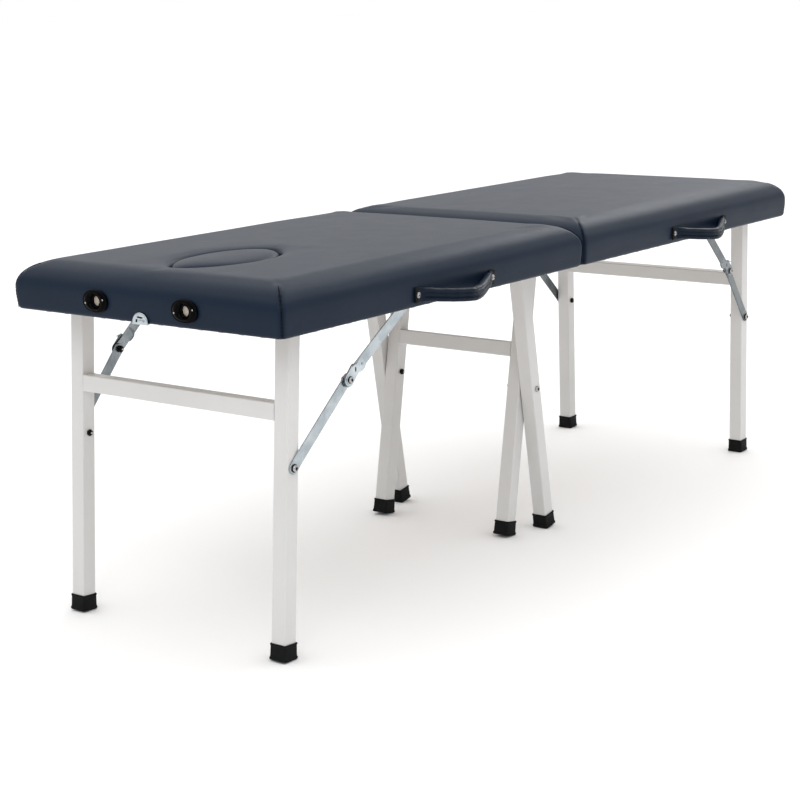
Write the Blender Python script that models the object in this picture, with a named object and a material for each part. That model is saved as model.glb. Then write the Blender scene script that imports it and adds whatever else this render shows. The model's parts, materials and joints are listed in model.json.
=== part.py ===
"""Portable massage table: two padded panels hinged edge to edge, two end leg
frames, a scissor pair of middle leg frames, folding stays, face plug, handles.
Metres, +Z up, X along the table (head end at -X), origin on the floor."""
import bpy
import bmesh
import math
from mathutils import Vector

# ---- driving dimensions -------------------------------------------------
HALF_LENGTH = 0.928
HALF_WIDTH = 0.3110
JOIN_X = -0.003
JOIN_GAP = 0.003
RIM_BOTTOM = 0.566
RIM_TOP = 0.612
DECK_T = 0.005
TOP_Z = 0.650
FIT = 0.0003
SKIN_T = 0.0045
SIDE_RAIL_T = 0.0140
END_RAIL_T = 0.0200
JOIN_RAIL_T = 0.0120
DECK_IN = 0.0065
CORNER_R = 0.012
INNER_CORNER_R = 0.004
PAD_IN = 0.0005
ROUND_IN = 0.036
ROUND_STEPS = 7
SHIFT_Y = 0.0230
MERGE = 0.00001
SHARP_ANGLE = math.radians(35.0)
OVERSHOOT = 0.010

TUBE = 0.0300
TUBE_WALL = 0.0016
TUBE_EDGE = 0.0022
TUBE_BORE_EDGE = 0.0010
TUBE_SEG = 3
CAP = 0.0344
CAP_H = 0.0293
CAP_FLOOR = 0.006
CAP_EDGE = 0.0030
CAP_CHAMFER = 0.0012
PIVOT_Z = 0.5865
AXLE_R = 0.004
AXLE_HALF = 0.2975

HEAD_FOOT_X = -0.8715
HEAD_PIVOT_X = -0.8294
FOOT_FOOT_X = 0.8400
FOOT_PIVOT_X = 0.8254
END_LEG_Y = 0.2400
HEAD_BAR_Z = 0.4245
FOOT_BAR_Z = 0.4220

OUTER_PIVOT_X = -0.0583
OUTER_FOOT_X = 0.0415
OUTER_LEG_Y = 0.1880
INNER_PIVOT_X = 0.0383
INNER_FOOT_X = -0.0630
INNER_LEG_Y = 0.1560
INNER_BAR_Z = 0.3800
SCISSOR_X = -0.0097
SCISSOR_Z = 0.3055
BOLT_R = 0.0075
BOLT_H = 0.0050
NUT_H = 0.0070

STAY_W = 0.0214
STAY_T = 0.0025
STAY_REACH = 0.2850
STAY_DROP = 0.2550
STAY_SLACK = 0.0005
STAY_FLAT = 0.014
STAY_ARC = (15, 40, 65)
STAY_Y_LEG = 0.2570
STAY_Y_KNEE_LOW = 0.2700
STAY_Y_KNEE_UP = 0.2732
STAY_Y_RAIL = 0.2880

HOLE_X = -0.708
HOLE_A = 0.1255
HOLE_B = 0.0725
PLUG_GAP = 0.0008
PLUG_LIP = 0.010
PLUG_ROLL = ((0.0, 0.0040), (0.0015, 0.0012), (0.0040, 0.0))

SOCKET_Y = 0.1035
SOCKET_Z = 0.595
SOCKET_W = 0.058
SOCKET_H = 0.041
SOCKET_T = 0.0025
BORE_R = 0.011
BORE_DEPTH = 0.050
SOCKET_R = 0.0204
SOCKET_RIM = 0.0012
SOCKET_SLIM = (0.95, 0.93)
BORE_FLARE = 1.12
BORE_FLARE_T = 0.0008

HANDLE_Z = 0.5870
HANDLE_H = 0.026
HANDLE_T = 0.0030
HANDLE_BOW = 0.0425
HANDLE_DROP = 0.0110
HEAD_HANDLE_X = -0.4500
FOOT_HANDLE_X = 0.4830
HANDLE_HALF = 0.1235
HANDLE_TAB = 0.018
HANDLE_STEPS = 20
HANDLE_POWER = 1.3

HINGE_Z = 0.5612
HINGE_R = 0.0040
HINGE_PIN_R = 0.0016
HINGE_Y = 0.2420
HINGE_LEN = 0.050
LEAF_W = 0.017
LEAF_T = 0.0020
LEAF_GAP = 0.0004
KNUCKLES = 5
KNUCKLE_GAP = 0.0002
KNUCKLE_CLEAR = 0.0005

CATCH_W = 0.036
CATCH_H = 0.018
CATCH_T = 0.0020
CATCH_LIP = 0.0140
CATCH_LIP_IN = 0.0040


def clear_scene():
    for ob in list(bpy.data.objects):
        bpy.data.objects.remove(ob, do_unlink=True)


def material(name, color, rough, metal=0.0):
    mat = bpy.data.materials.get(name)
    if mat is None:
        mat = bpy.data.materials.new(name)
        mat.use_nodes = True
        bsdf = mat.node_tree.nodes["Principled BSDF"]
        bsdf.inputs["Base Color"].default_value = (color[0], color[1], color[2], 1.0)
        bsdf.inputs["Roughness"].default_value = rough
        bsdf.inputs["Metallic"].default_value = metal
    return mat


def add(name, verts, faces, look, origin=(0.0, 0.0, 0.0)):
    """A named closed body from world-space vertices, its origin at the given point."""
    org = Vector((origin[0], origin[1] + SHIFT_Y, origin[2]))
    mesh = bpy.data.meshes.new(name)
    pts = [Vector((v[0], v[1] + SHIFT_Y, v[2])) - org for v in verts]
    mesh.from_pydata([tuple(p) for p in pts], [], faces)
    bm = bmesh.new()
    bm.from_mesh(mesh)
    bmesh.ops.remove_doubles(bm, verts=bm.verts, dist=MERGE)
    bmesh.ops.recalc_face_normals(bm, faces=bm.faces)
    bm.to_mesh(mesh)
    bm.free()
    mesh.materials.append(material("mat_" + name, look[0], look[1], look[2]))
    ob = bpy.data.objects.new(name, mesh)
    ob.location = org
    bpy.context.scene.collection.objects.link(ob)
    return ob


def cut(ob, cutters):
    """Subtracts each cutter with the exact solver and bakes the result."""
    for tool in cutters:
        mod = ob.modifiers.new("cut", 'BOOLEAN')
        mod.operation = 'DIFFERENCE'
        mod.solver = 'EXACT'
        mod.object = tool
        bpy.context.view_layer.update()
        graph = bpy.context.evaluated_depsgraph_get()
        baked = bpy.data.meshes.new_from_object(ob.evaluated_get(graph))
        ob.modifiers.remove(mod)
        ob.data = baked
    for tool in set(cutters):
        bpy.data.objects.remove(tool, do_unlink=True)
    bm = bmesh.new()
    bm.from_mesh(ob.data)
    bmesh.ops.remove_doubles(bm, verts=bm.verts, dist=MERGE)
    bm.to_mesh(ob.data)
    bm.free()
    return ob


def join_solids(ob, extras):
    """Unites touching solids into one closed body."""
    for tool in extras:
        mod = ob.modifiers.new("join", 'BOOLEAN')
        mod.operation = 'UNION'
        mod.solver = 'EXACT'
        mod.object = tool
        bpy.context.view_layer.update()
        graph = bpy.context.evaluated_depsgraph_get()
        baked = bpy.data.meshes.new_from_object(ob.evaluated_get(graph))
        ob.modifiers.remove(mod)
        ob.data = baked
        bpy.data.objects.remove(tool, do_unlink=True)
    mat = ob.data.materials[0]
    ob.data.materials.clear()
    ob.data.materials.append(mat)
    for poly in ob.data.polygons:
        poly.material_index = 0
    return ob


def ring_faces(rings, count, closed_loop=False):
    """Quads between successive rings of equal vertex count."""
    faces = []
    pairs = list(zip(rings[:-1], rings[1:]))
    if closed_loop:
        pairs.append((rings[-1], rings[0]))
    for a, b in pairs:
        for i in range(count):
            j = (i + 1) % count
            faces.append((a + i, a + j, b + j, b + i))
    return faces


def loft(loops, capped=True):
    """Vertices and faces of a body skinned through equal-count loops."""
    count = len(loops[0])
    verts = [p for loop in loops for p in loop]
    starts = [k * count for k in range(len(loops))]
    faces = ring_faces(starts, count)
    if capped:
        faces.append(tuple(range(count - 1, -1, -1)))
        faces.append(tuple(starts[-1] + i for i in range(count)))
    return verts, faces


def tube_shell(outer, inner):
    """Open-ended shell from outer loops and inner loops listed along its length."""
    count = len(outer[0])
    verts = [p for loop in outer for p in loop] + [p for loop in inner for p in loop]
    n = len(outer)
    out_start = [k * count for k in range(n)]
    in_start = [(n + k) * count for k in range(n)]
    order = out_start + in_start[::-1]
    return verts, ring_faces(order, count, closed_loop=True)


def rounded_rect(hx, hy, r, seg=5, cx=0.0, cy=0.0):
    """Counter-clockwise outline of a rounded rectangle."""
    pts = []
    corners = ((1, 1, 0.0), (-1, 1, 90.0), (-1, -1, 180.0), (1, -1, 270.0))
    for sx, sy, start in corners:
        for k in range(seg + 1):
            a = math.radians(start + 90.0 * k / seg)
            x = cx + sx * (hx - r) + r * math.cos(a)
            y = cy + sy * (hy - r) + r * math.sin(a)
            pts.append((x, y))
    return pts


def ellipse(cx, cy, a, b, count=64):
    step = 2.0 * math.pi / count
    return [(cx + a * math.cos(step * k), cy + b * math.sin(step * k)) for k in range(count)]


def circle_xz(cx, cz, r, count=24):
    step = 2.0 * math.pi / count
    return [(cx + r * math.cos(step * k), cz + r * math.sin(step * k)) for k in range(count)]


def lift(points, z):
    return [(x, y, z) for x, y in points]


def rod_y(name, x, z, r, y0, y1, look, origin, count=24):
    """Round bar along Y."""
    ring = circle_xz(x, z, r, count)
    loops = [[(px, y, pz) for px, pz in ring] for y in (y0, y1)]
    verts, faces = loft(loops)
    return add(name, verts, faces, look, origin)


def block(name, x0, x1, y0, y1, z0, z1, look, origin=(0.0, 0.0, 0.0)):
    """Straight box between two corners."""
    pts = [(x0, y0), (x1, y0), (x1, y1), (x0, y1)]
    verts, faces = loft([lift(pts, z0), lift(pts, z1)])
    return add(name, verts, faces, look, origin)


LEATHER = ((0.035, 0.045, 0.062), 0.45, 0.0)
WOOD = ((0.62, 0.46, 0.29), 0.6, 0.0)
WHITE = ((0.80, 0.79, 0.77), 0.35, 0.0)
ZINC = ((0.55, 0.57, 0.60), 0.32, 1.0)
BLACK = ((0.012, 0.012, 0.014), 0.3, 0.0)
RUBBER = ((0.02, 0.02, 0.022), 0.6, 0.0)


# ---- panels ---------------------------------------------------------------
def panel_span(side):
    """Outer X limits of the head (-1) or foot (+1) panel."""
    if side < 0:
        return -HALF_LENGTH, JOIN_X - JOIN_GAP / 2
    return JOIN_X + JOIN_GAP / 2, HALF_LENGTH


def outline(side, inset, seg=5):
    x0, x1 = panel_span(side)
    hx = (x1 - x0) / 2 - inset
    hy = HALF_WIDTH - inset
    r = max(CORNER_R - inset * 0.5, INNER_CORNER_R)
    return rounded_rect(hx, hy, r, seg, cx=(x0 + x1) / 2)


def cushion(name, side, origin):
    """Foam pad with its top edge rolled over on all four sides."""
    z0 = RIM_TOP + FIT + DECK_T + FIT
    height = TOP_Z - z0
    loops = [lift(outline(side, PAD_IN), z0)]
    for k in range(1, ROUND_STEPS + 1):
        a = math.pi / 2 * k / ROUND_STEPS
        inset = PAD_IN + ROUND_IN * (1.0 - math.cos(a))
        loops.append(lift(outline(side, inset), z0 + height * math.sin(a)))
    verts, faces = loft(loops)
    return add(name, verts, faces, LEATHER, origin)


def skirt(name, side, origin):
    """Covering around the outside of the rim."""
    z0, z1 = RIM_BOTTOM, RIM_TOP + FIT + DECK_T
    outer = [lift(outline(side, 0.0), z) for z in (z0, z1)]
    inner = [lift(outline(side, SKIN_T), z) for z in (z0, z1)]
    verts, faces = tube_shell(outer, inner)
    return add(name, verts, faces, LEATHER, origin)


def rim(name, side, origin):
    """Wooden frame of the panel; its inside is the recess that stores the legs."""
    inset = SKIN_T + FIT
    x0, x1 = panel_span(side)
    end_x0 = x0 + inset + (END_RAIL_T if side < 0 else JOIN_RAIL_T)
    end_x1 = x1 - inset - (JOIN_RAIL_T if side < 0 else END_RAIL_T)
    hy = HALF_WIDTH - inset - SIDE_RAIL_T
    hole = rounded_rect((end_x1 - end_x0) / 2, hy, INNER_CORNER_R, 5, cx=(end_x0 + end_x1) / 2)
    outer = [lift(outline(side, inset), z) for z in (RIM_BOTTOM, RIM_TOP)]
    inner = [lift(hole, z) for z in (RIM_BOTTOM, RIM_TOP)]
    verts, faces = tube_shell(outer, inner)
    return add(name, verts, faces, WOOD, origin)


def deck(name, side, origin):
    """Thin board on top of the rim."""
    z0 = RIM_TOP + FIT
    verts, faces = loft([lift(outline(side, DECK_IN), z) for z in (z0, z0 + DECK_T)])
    return add(name, verts, faces, WOOD, origin)


def oval_tool(a, b, z0, z1):
    """Cutter of the face opening."""
    verts, faces = loft([lift(ellipse(HOLE_X, 0.0, a, b), z) for z in (z0, z1)])
    return add("tool_oval", verts, faces, WOOD)


def face_plug():
    """Removable oval pad of the face opening."""
    z0 = RIM_TOP + 2 * FIT + DECK_T
    a, b = HOLE_A - PLUG_GAP, HOLE_B - PLUG_GAP
    origin = (HOLE_X, 0.0, z0)
    rows = [(0.0, z0)] + [(d, TOP_Z - drop) for d, drop in PLUG_ROLL]
    verts, faces = loft([lift(ellipse(HOLE_X, 0.0, a - d, b - d), z) for d, z in rows])
    return add("face_plug", verts, faces, LEATHER, origin)


def axle_holes(xs):
    """Cutters for the axle ends in the side rails."""
    tools = []
    for x in xs:
        tools.append(rod_y("tool_rod", x, PIVOT_Z, AXLE_R + FIT, -AXLE_HALF - FIT, AXLE_HALF + FIT,
                           WOOD, (0.0, 0.0, 0.0), 16))
    return tools


def bore_tool(y):
    """Cutter of one headrest bore, along X from the head end."""
    ring = [(y + BORE_R * math.cos(a), SOCKET_Z + BORE_R * math.sin(a))
            for a in [2 * math.pi * k / 32 for k in range(32)]]
    span = (-HALF_LENGTH - OVERSHOOT, -HALF_LENGTH + BORE_DEPTH)
    loops = [[(x, py, pz) for py, pz in ring] for x in span]
    verts, faces = loft(loops)
    return add("tool_bore", verts, faces, WOOD)


def socket(name, y):
    """Oval flange with a round bore for the headrest rods."""
    flange = rounded_rect(SOCKET_W / 2, SOCKET_H / 2, SOCKET_R, 9, cx=y, cy=SOCKET_Z)
    count = len(flange)
    x1 = -HALF_LENGTH - FIT
    x0 = x1 - SOCKET_T
    bore = []
    for py, pz in flange:
        a = math.atan2(pz - SOCKET_Z, py - y)
        bore.append((y + BORE_R * math.cos(a), SOCKET_Z + BORE_R * math.sin(a)))
    wide_y, wide_z = SOCKET_SLIM
    slim = [(y + (py - y) * wide_y, SOCKET_Z + (pz - SOCKET_Z) * wide_z) for py, pz in flange]
    wide = [(y + (py - y) * BORE_FLARE, SOCKET_Z + (pz - SOCKET_Z) * BORE_FLARE) for py, pz in bore]
    rings = [(flange, x1), (flange, x0 + SOCKET_RIM), (slim, x0), (wide, x0)]
    rings += [(bore, x0 + BORE_FLARE_T), (bore, x1)]
    verts = [(x, py, pz) for ring, x in rings for py, pz in ring]
    faces = ring_faces([k * count for k in range(len(rings))], count, closed_loop=True)
    return add(name, verts, faces, BLACK, (x1, y, SOCKET_Z))


def handle_path(cx):
    """Centre line of the strap on the near long side: flat ends and a bowed, drooping grip."""
    pts = []
    base = -HALF_WIDTH - FIT - HANDLE_T / 2
    for k in range(HANDLE_STEPS + 1):
        s = -1.0 + 2.0 * k / HANDLE_STEPS
        x = cx + s * HANDLE_HALF
        t = max(0.0, 1.0 - abs(s) * HANDLE_HALF / (HANDLE_HALF - HANDLE_TAB))
        bow = 1.0 - (1.0 - t) ** HANDLE_POWER
        pts.append((x, base - HANDLE_BOW * bow, HANDLE_Z - HANDLE_DROP * bow))
    return pts


def handle(name, cx, origin):
    """Strap lofted along its centre line, its end tabs flat against the side."""
    path = handle_path(cx)
    loops = []
    for k, (x, y, z) in enumerate(path):
        a = path[max(k - 1, 0)]
        b = path[min(k + 1, len(path) - 1)]
        d = Vector((b[0] - a[0], b[1] - a[1], 0.0)).normalized()
        n = Vector((-d.y, d.x, 0.0))
        if min(k, len(path) - 1 - k) < 3:
            n = Vector((0.0, 1.0, 0.0))
        loop = []
        for u, v in ((-0.5, -0.5), (0.5, -0.5), (0.5, 0.5), (-0.5, 0.5)):
            p = Vector((x, y, z + v * HANDLE_H)) + n * (u * HANDLE_T)
            loop.append(tuple(p))
        loops.append(loop)
    verts, faces = loft(loops)
    return add(name, verts, faces, LEATHER, origin)


def catch_plate(name, side, origin):
    """Half-round plate on the end of the rim with a lip folded under it."""
    sx = -1.0 if side < 0 else 1.0
    x_in = sx * (HALF_LENGTH + FIT)
    x_out = x_in + sx * CATCH_T
    low = RIM_BOTTOM - FIT - CATCH_T
    top = [(-CATCH_W / 2, low), (CATCH_W / 2, low)]
    for k in range(13):
        a = math.pi * k / 12
        top.append((CATCH_W / 2 * math.cos(a), RIM_BOTTOM + CATCH_H * math.sin(a)))
    loops = [[(x, y, z) for y, z in top] for x in (x_in, x_out)]
    verts, faces = loft(loops)
    plate = add(name, verts, faces, ZINC, origin)
    lo, hi = sorted((x_in + sx * CATCH_T / 4, x_in - sx * CATCH_LIP))
    half = CATCH_W / 2 - CATCH_LIP_IN
    lip = block("tool_lip", lo, hi, -half, half, low + CATCH_T / 10, RIM_BOTTOM - FIT, ZINC)
    return join_solids(plate, [lip])


def hinge_leaf(name, side, sy, origin):
    """Leaf under the joining rail with its share of the knuckles."""
    sx = -1.0 if side < 0 else 1.0
    y0 = sy * HINGE_Y - HINGE_LEN / 2
    step = HINGE_LEN / KNUCKLES
    near = JOIN_X + sx * (HINGE_R + KNUCKLE_CLEAR)
    lo, hi = sorted((near, JOIN_X + sx * LEAF_W))
    z1 = RIM_BOTTOM - LEAF_GAP
    z0 = z1 - LEAF_T
    leaf = block(name, lo, hi, y0, y0 + HINGE_LEN, z0, z1, ZINC, origin)
    extras = []
    for k in range(KNUCKLES):
        if (k % 2 == 0) != (side < 0):
            continue
        a = y0 + k * step + KNUCKLE_GAP
        b = y0 + (k + 1) * step - KNUCKLE_GAP
        extras.append(rod_y("tool_knuckle", JOIN_X, HINGE_Z, HINGE_R, a, b, ZINC, (0, 0, 0), 20))
        lo, hi = sorted((JOIN_X + sx * KNUCKLE_CLEAR, near + sx * LEAF_T / 2))
        extras.append(block("tool_web", lo, hi, a, b, z0 + LEAF_T * 0.05, z1 - LEAF_T * 0.3, ZINC))
    join_solids(leaf, extras)
    bore = rod_y("tool_pin", JOIN_X, HINGE_Z, HINGE_PIN_R + FIT, y0 - OVERSHOOT,
                 y0 + HINGE_LEN + OVERSHOOT, ZINC, (0, 0, 0), 16)
    return cut(leaf, [bore])


def hinge_pin(name, sy, origin):
    """Pin through the knuckles of one hinge."""
    y0 = sy * HINGE_Y - HINGE_LEN / 2
    return rod_y(name, JOIN_X, HINGE_Z, HINGE_PIN_R, y0, y0 + HINGE_LEN, ZINC, origin, 16)


def build_panels():
    root = (0.0, 0.0, 0.0)
    hinge = (JOIN_X, 0.0, HINGE_Z)
    pad = cushion("head_cushion", -1, root)
    cut(pad, [oval_tool(HOLE_A, HOLE_B, RIM_TOP, TOP_Z + OVERSHOOT)])
    board = deck("head_deck", -1, root)
    cut(board, [oval_tool(HOLE_A - PLUG_LIP, HOLE_B - PLUG_LIP, RIM_TOP - OVERSHOOT, TOP_Z)])
    cover = skirt("head_skirt", -1, root)
    cut(cover, [bore_tool(SOCKET_Y), bore_tool(-SOCKET_Y)])
    frame = rim("head_rim", -1, root)
    cut(frame, [bore_tool(SOCKET_Y), bore_tool(-SOCKET_Y)] + axle_holes((HEAD_PIVOT_X, OUTER_PIVOT_X)))
    cushion("foot_cushion", 1, hinge)
    deck("foot_deck", 1, hinge)
    skirt("foot_skirt", 1, hinge)
    frame = rim("foot_rim", 1, hinge)
    cut(frame, axle_holes((FOOT_PIVOT_X, INNER_PIVOT_X)))
    face_plug()
    socket("headrest_socket_near", -SOCKET_Y)
    socket("headrest_socket_far", SOCKET_Y)
    handle("head_handle", HEAD_HANDLE_X, root)
    handle("foot_handle", FOOT_HANDLE_X, hinge)
    catch_plate("head_catch_plate", -1, root)
    catch_plate("foot_catch_plate", 1, hinge)
    for tag, sy in (("near", -1), ("far", 1)):
        hinge_leaf("hinge_head_leaf_" + tag, -1, sy, root)
        hinge_leaf("hinge_foot_leaf_" + tag, 1, sy, hinge)
        hinge_pin("hinge_pin_" + tag, sy, root)


# ---- leg frames -----------------------------------------------------------
def leg_axes(pivot_x, foot_x):
    """Pivot point, unit direction down the leg, cross direction, and base distance."""
    slope = (foot_x - pivot_x) / PIVOT_Z
    down = Vector((slope, 0.0, -1.0)).normalized()
    cross = Vector((-down.z, 0.0, down.x))
    sink = abs(down.x) * CAP / 2
    base = (PIVOT_Z - sink) / abs(down.z)
    return Vector((pivot_x, 0.0, PIVOT_Z)), down, cross, base


def square_loop(centre, cross, half, r):
    """Rounded square across a leg's axis."""
    pts = rounded_rect(half, half, r, TUBE_SEG)
    return [tuple(centre + cross * u + Vector((0.0, v, 0.0))) for u, v in pts]


def leg(name, pivot_x, foot_x, y, origin):
    """Hollow square leg with a cross hole for the axle."""
    pivot, down, cross, base = leg_axes(pivot_x, foot_x)
    pivot = pivot + Vector((0.0, y, 0.0))
    top = pivot - down * (TUBE / 2)
    end = pivot + down * (base - CAP_FLOOR - FIT)
    half = TUBE / 2
    outer = [square_loop(p, cross, half, TUBE_EDGE) for p in (top, end)]
    inner = [square_loop(p, cross, half - TUBE_WALL, TUBE_BORE_EDGE) for p in (top, end)]
    verts, faces = tube_shell(outer, inner)
    ob = add(name, verts, faces, WHITE, origin)
    hole = rod_y("tool_rod", pivot_x, PIVOT_Z, AXLE_R + FIT, y - TUBE, y + TUBE, WHITE, (0, 0, 0), 16)
    return cut(ob, [hole])


def foot_cap(name, pivot_x, foot_x, y, origin):
    """Square rubber shoe over the leg end."""
    pivot, down, cross, base = leg_axes(pivot_x, foot_x)
    pivot = pivot + Vector((0.0, y, 0.0))
    low = pivot + down * base
    rows = ((base, CAP_CHAMFER), (base - CAP_CHAMFER, 0.0), (base - CAP_H, 0.0))
    loops = [square_loop(pivot + down * d, cross, CAP / 2 - i, CAP_EDGE) for d, i in rows]
    pocket = TUBE / 2 + FIT
    mouth = pivot + down * (base - CAP_H)
    floor = low - down * CAP_FLOOR
    loops.append(square_loop(mouth, cross, pocket, TUBE_EDGE))
    loops.append(square_loop(floor, cross, pocket, TUBE_EDGE))
    verts, faces = loft(loops)
    return add(name, verts, faces, RUBBER, origin)


def crossbar(name, pivot_x, foot_x, z, leg_y, origin):
    """Square tube between the two legs of a frame."""
    pivot, down, cross, base = leg_axes(pivot_x, foot_x)
    centre = pivot + down * ((PIVOT_Z - z) / abs(down.z))
    half = TUBE / 2
    reach = leg_y - half - FIT
    outer = []
    inner = []
    for y in (-reach, reach):
        for store, h, r in ((outer, half, TUBE_EDGE), (inner, half - TUBE_WALL, TUBE_BORE_EDGE)):
            pts = rounded_rect(h, h, r, TUBE_SEG)
            store.append([tuple(centre + cross * u + down * v + Vector((0, y, 0))) for u, v in pts])
    verts, faces = tube_shell(outer, inner)
    return add(name, verts, faces, WHITE, origin)


def leg_frame(tag, pivot_x, foot_x, leg_y, bar_z):
    """Two legs with their shoes, the bar between them and the axle they turn on."""
    origin = (pivot_x, 0.0, PIVOT_Z)
    for word, sy in (("near", -1), ("far", 1)):
        leg(tag + "_leg_" + word, pivot_x, foot_x, sy * leg_y, origin)
        foot_cap(tag + "_cap_" + word, pivot_x, foot_x, sy * leg_y, origin)
    crossbar(tag + "_crossbar", pivot_x, foot_x, bar_z, leg_y, origin)
    rod_y(tag + "_axle", pivot_x, PIVOT_Z, AXLE_R, -AXLE_HALF, AXLE_HALF, ZINC, origin)


def hex_head(name, x, z, y0, y1, origin):
    """Hexagonal bolt head or nut."""
    ring = circle_xz(x, z, BOLT_R, 6)
    verts, faces = loft([[(px, y, pz) for px, pz in ring] for y in (y0, y1)])
    return add(name, verts, faces, ZINC, origin)


def build_frames():
    leg_frame("head_frame", HEAD_PIVOT_X, HEAD_FOOT_X, END_LEG_Y, HEAD_BAR_Z)
    leg_frame("foot_frame", FOOT_PIVOT_X, FOOT_FOOT_X, END_LEG_Y, FOOT_BAR_Z)
    leg_frame("mid_outer", OUTER_PIVOT_X, OUTER_FOOT_X, OUTER_LEG_Y, PIVOT_Z)
    leg_frame("mid_inner", INNER_PIVOT_X, INNER_FOOT_X, INNER_LEG_Y, INNER_BAR_Z)
    outer_org = (OUTER_PIVOT_X, 0.0, PIVOT_Z)
    inner_org = (INNER_PIVOT_X, 0.0, PIVOT_Z)
    for word, sy in (("near", -1), ("far", 1)):
        a = sy * (OUTER_LEG_Y + TUBE / 2 + FIT)
        hex_head("scissor_bolt_" + word, SCISSOR_X, SCISSOR_Z, a, a + sy * BOLT_H, outer_org)
        b = sy * (INNER_LEG_Y - TUBE / 2 - FIT)
        hex_head("scissor_nut_" + word, SCISSOR_X, SCISSOR_Z, b, b - sy * NUT_H, inner_org)


# ---- folding stays ----------------------------------------------------------
def knee_point(lower, upper, b1, b2):
    """Raised meeting point of the two bars in the XZ plane."""
    d = upper - lower
    dist = d.length
    a = (b1 * b1 - b2 * b2 + dist * dist) / (2 * dist)
    h = math.sqrt(max(b1 * b1 - a * a, 0.0))
    e = d / dist
    up = Vector((-e.z, 0.0, e.x))
    if up.z < 0:
        up = -up
    return lower + e * a + up * h


def stay_bar(name, start, end, y_start, y_end, sy, origin):
    """Flat bar with round ends, joggled sideways between its two pivots."""
    d = end - start
    length = d.length
    e = d / length
    n = Vector((-e.z, 0.0, e.x))
    r = STAY_W / 2
    stations = [(-r * math.cos(math.radians(a)), r * math.sin(math.radians(a))) for a in STAY_ARC]
    rows = [(x, w) for x, w in stations]
    rows.append((0.0, r))
    rows.append((STAY_FLAT, r))
    rows.append((length - STAY_FLAT, r))
    rows.append((length, r))
    rows.extend([(length - x, w) for x, w in stations[::-1]])
    loops = []
    for x, w in rows:
        t = (x - STAY_FLAT) / (length - 2 * STAY_FLAT)
        y = sy * (y_start + (y_end - y_start) * min(max(t, 0.0), 1.0))
        c = start + e * x
        loop = []
        for u, v in ((-w, -0.5), (w, -0.5), (w, 0.5), (-w, 0.5)):
            p = c + n * u
            loop.append((p.x, y + v * STAY_T, p.z))
        loops.append(loop)
    verts, faces = loft(loops)
    return add(name, verts, faces, ZINC, origin)


def stay_points(pivot_x, foot_x, toward):
    """Leg pivot, knee and rail pivot of a stay whose frame folds toward +1 or -1."""
    pivot, down, cross, base = leg_axes(pivot_x, foot_x)
    low = pivot + down * STAY_DROP
    rail = Vector((pivot_x + toward * STAY_REACH, 0.0, PIVOT_Z))
    extra = STAY_REACH - STAY_DROP
    b1 = ((rail - low).length - extra) / 2 + STAY_SLACK
    knee = knee_point(low, rail, b1, b1 + extra)
    return low, knee, rail


def build_stays():
    ends = (("head", HEAD_PIVOT_X, HEAD_FOOT_X, 1), ("foot", FOOT_PIVOT_X, FOOT_FOOT_X, -1))
    for tag, px, fx, toward in ends:
        low, knee, rail = stay_points(px, fx, toward)
        for word, sy in (("near", -1), ("far", 1)):
            stay_bar(tag + "_stay_lower_" + word, low, knee, STAY_Y_LEG, STAY_Y_KNEE_LOW, sy, tuple(low))
            stay_bar(tag + "_stay_upper_" + word, rail, knee, STAY_Y_RAIL, STAY_Y_KNEE_UP, sy, tuple(rail))


def shade_all():
    """Round faces shaded smooth, edges kept sharp."""
    for ob in bpy.context.scene.objects:
        ob.data.shade_smooth()
        ob.data.set_sharp_from_angle(angle=SHARP_ANGLE)


clear_scene()
build_panels()
build_frames()
build_stays()
shade_all()
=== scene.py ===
"""Looks of the portable massage table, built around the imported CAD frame."""
import bpy
import bmesh
import json
import numpy as np
from math import copysign, cos, hypot, pi, radians, sin, sqrt
from mathutils import Matrix, Vector, noise


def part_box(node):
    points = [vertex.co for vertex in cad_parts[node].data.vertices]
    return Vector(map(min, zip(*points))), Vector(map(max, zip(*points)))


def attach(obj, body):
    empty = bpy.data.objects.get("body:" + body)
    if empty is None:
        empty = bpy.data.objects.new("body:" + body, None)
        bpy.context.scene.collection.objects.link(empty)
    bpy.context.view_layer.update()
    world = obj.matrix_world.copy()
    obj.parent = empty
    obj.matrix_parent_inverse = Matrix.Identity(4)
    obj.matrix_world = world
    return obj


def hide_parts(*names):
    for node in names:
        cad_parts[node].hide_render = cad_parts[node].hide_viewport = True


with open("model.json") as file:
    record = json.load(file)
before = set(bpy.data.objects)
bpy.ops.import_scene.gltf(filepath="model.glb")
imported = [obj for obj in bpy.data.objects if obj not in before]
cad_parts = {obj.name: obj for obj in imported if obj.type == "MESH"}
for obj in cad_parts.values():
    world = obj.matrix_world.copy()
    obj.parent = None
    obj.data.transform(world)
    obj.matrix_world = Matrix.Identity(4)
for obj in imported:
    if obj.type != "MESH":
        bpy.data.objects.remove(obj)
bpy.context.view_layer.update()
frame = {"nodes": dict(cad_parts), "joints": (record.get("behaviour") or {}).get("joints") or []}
JOINTS = {j["name"]: j for j in frame["joints"]}
NODES = frame["nodes"]

# ---- sizes and places taken from the frame
HEAD_LO, HEAD_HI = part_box("head_skirt")
FOOT_LO, FOOT_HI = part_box("foot_skirt")
PLUG_LO, PLUG_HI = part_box("face_plug")
LEG_LO, LEG_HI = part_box("head_frame_leg_near")
PANELS = {"head": (HEAD_LO, HEAD_HI), "foot": (FOOT_LO, FOOT_HI)}
SIDES = {"near": -1.0, "far": 1.0}
HALF_TUBE = (LEG_HI.y - LEG_LO.y) / 2
TOP_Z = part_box("head_cushion")[1].z
DECK_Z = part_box("head_deck")[1].z
BOTTOM_Z = HEAD_LO.z

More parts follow.
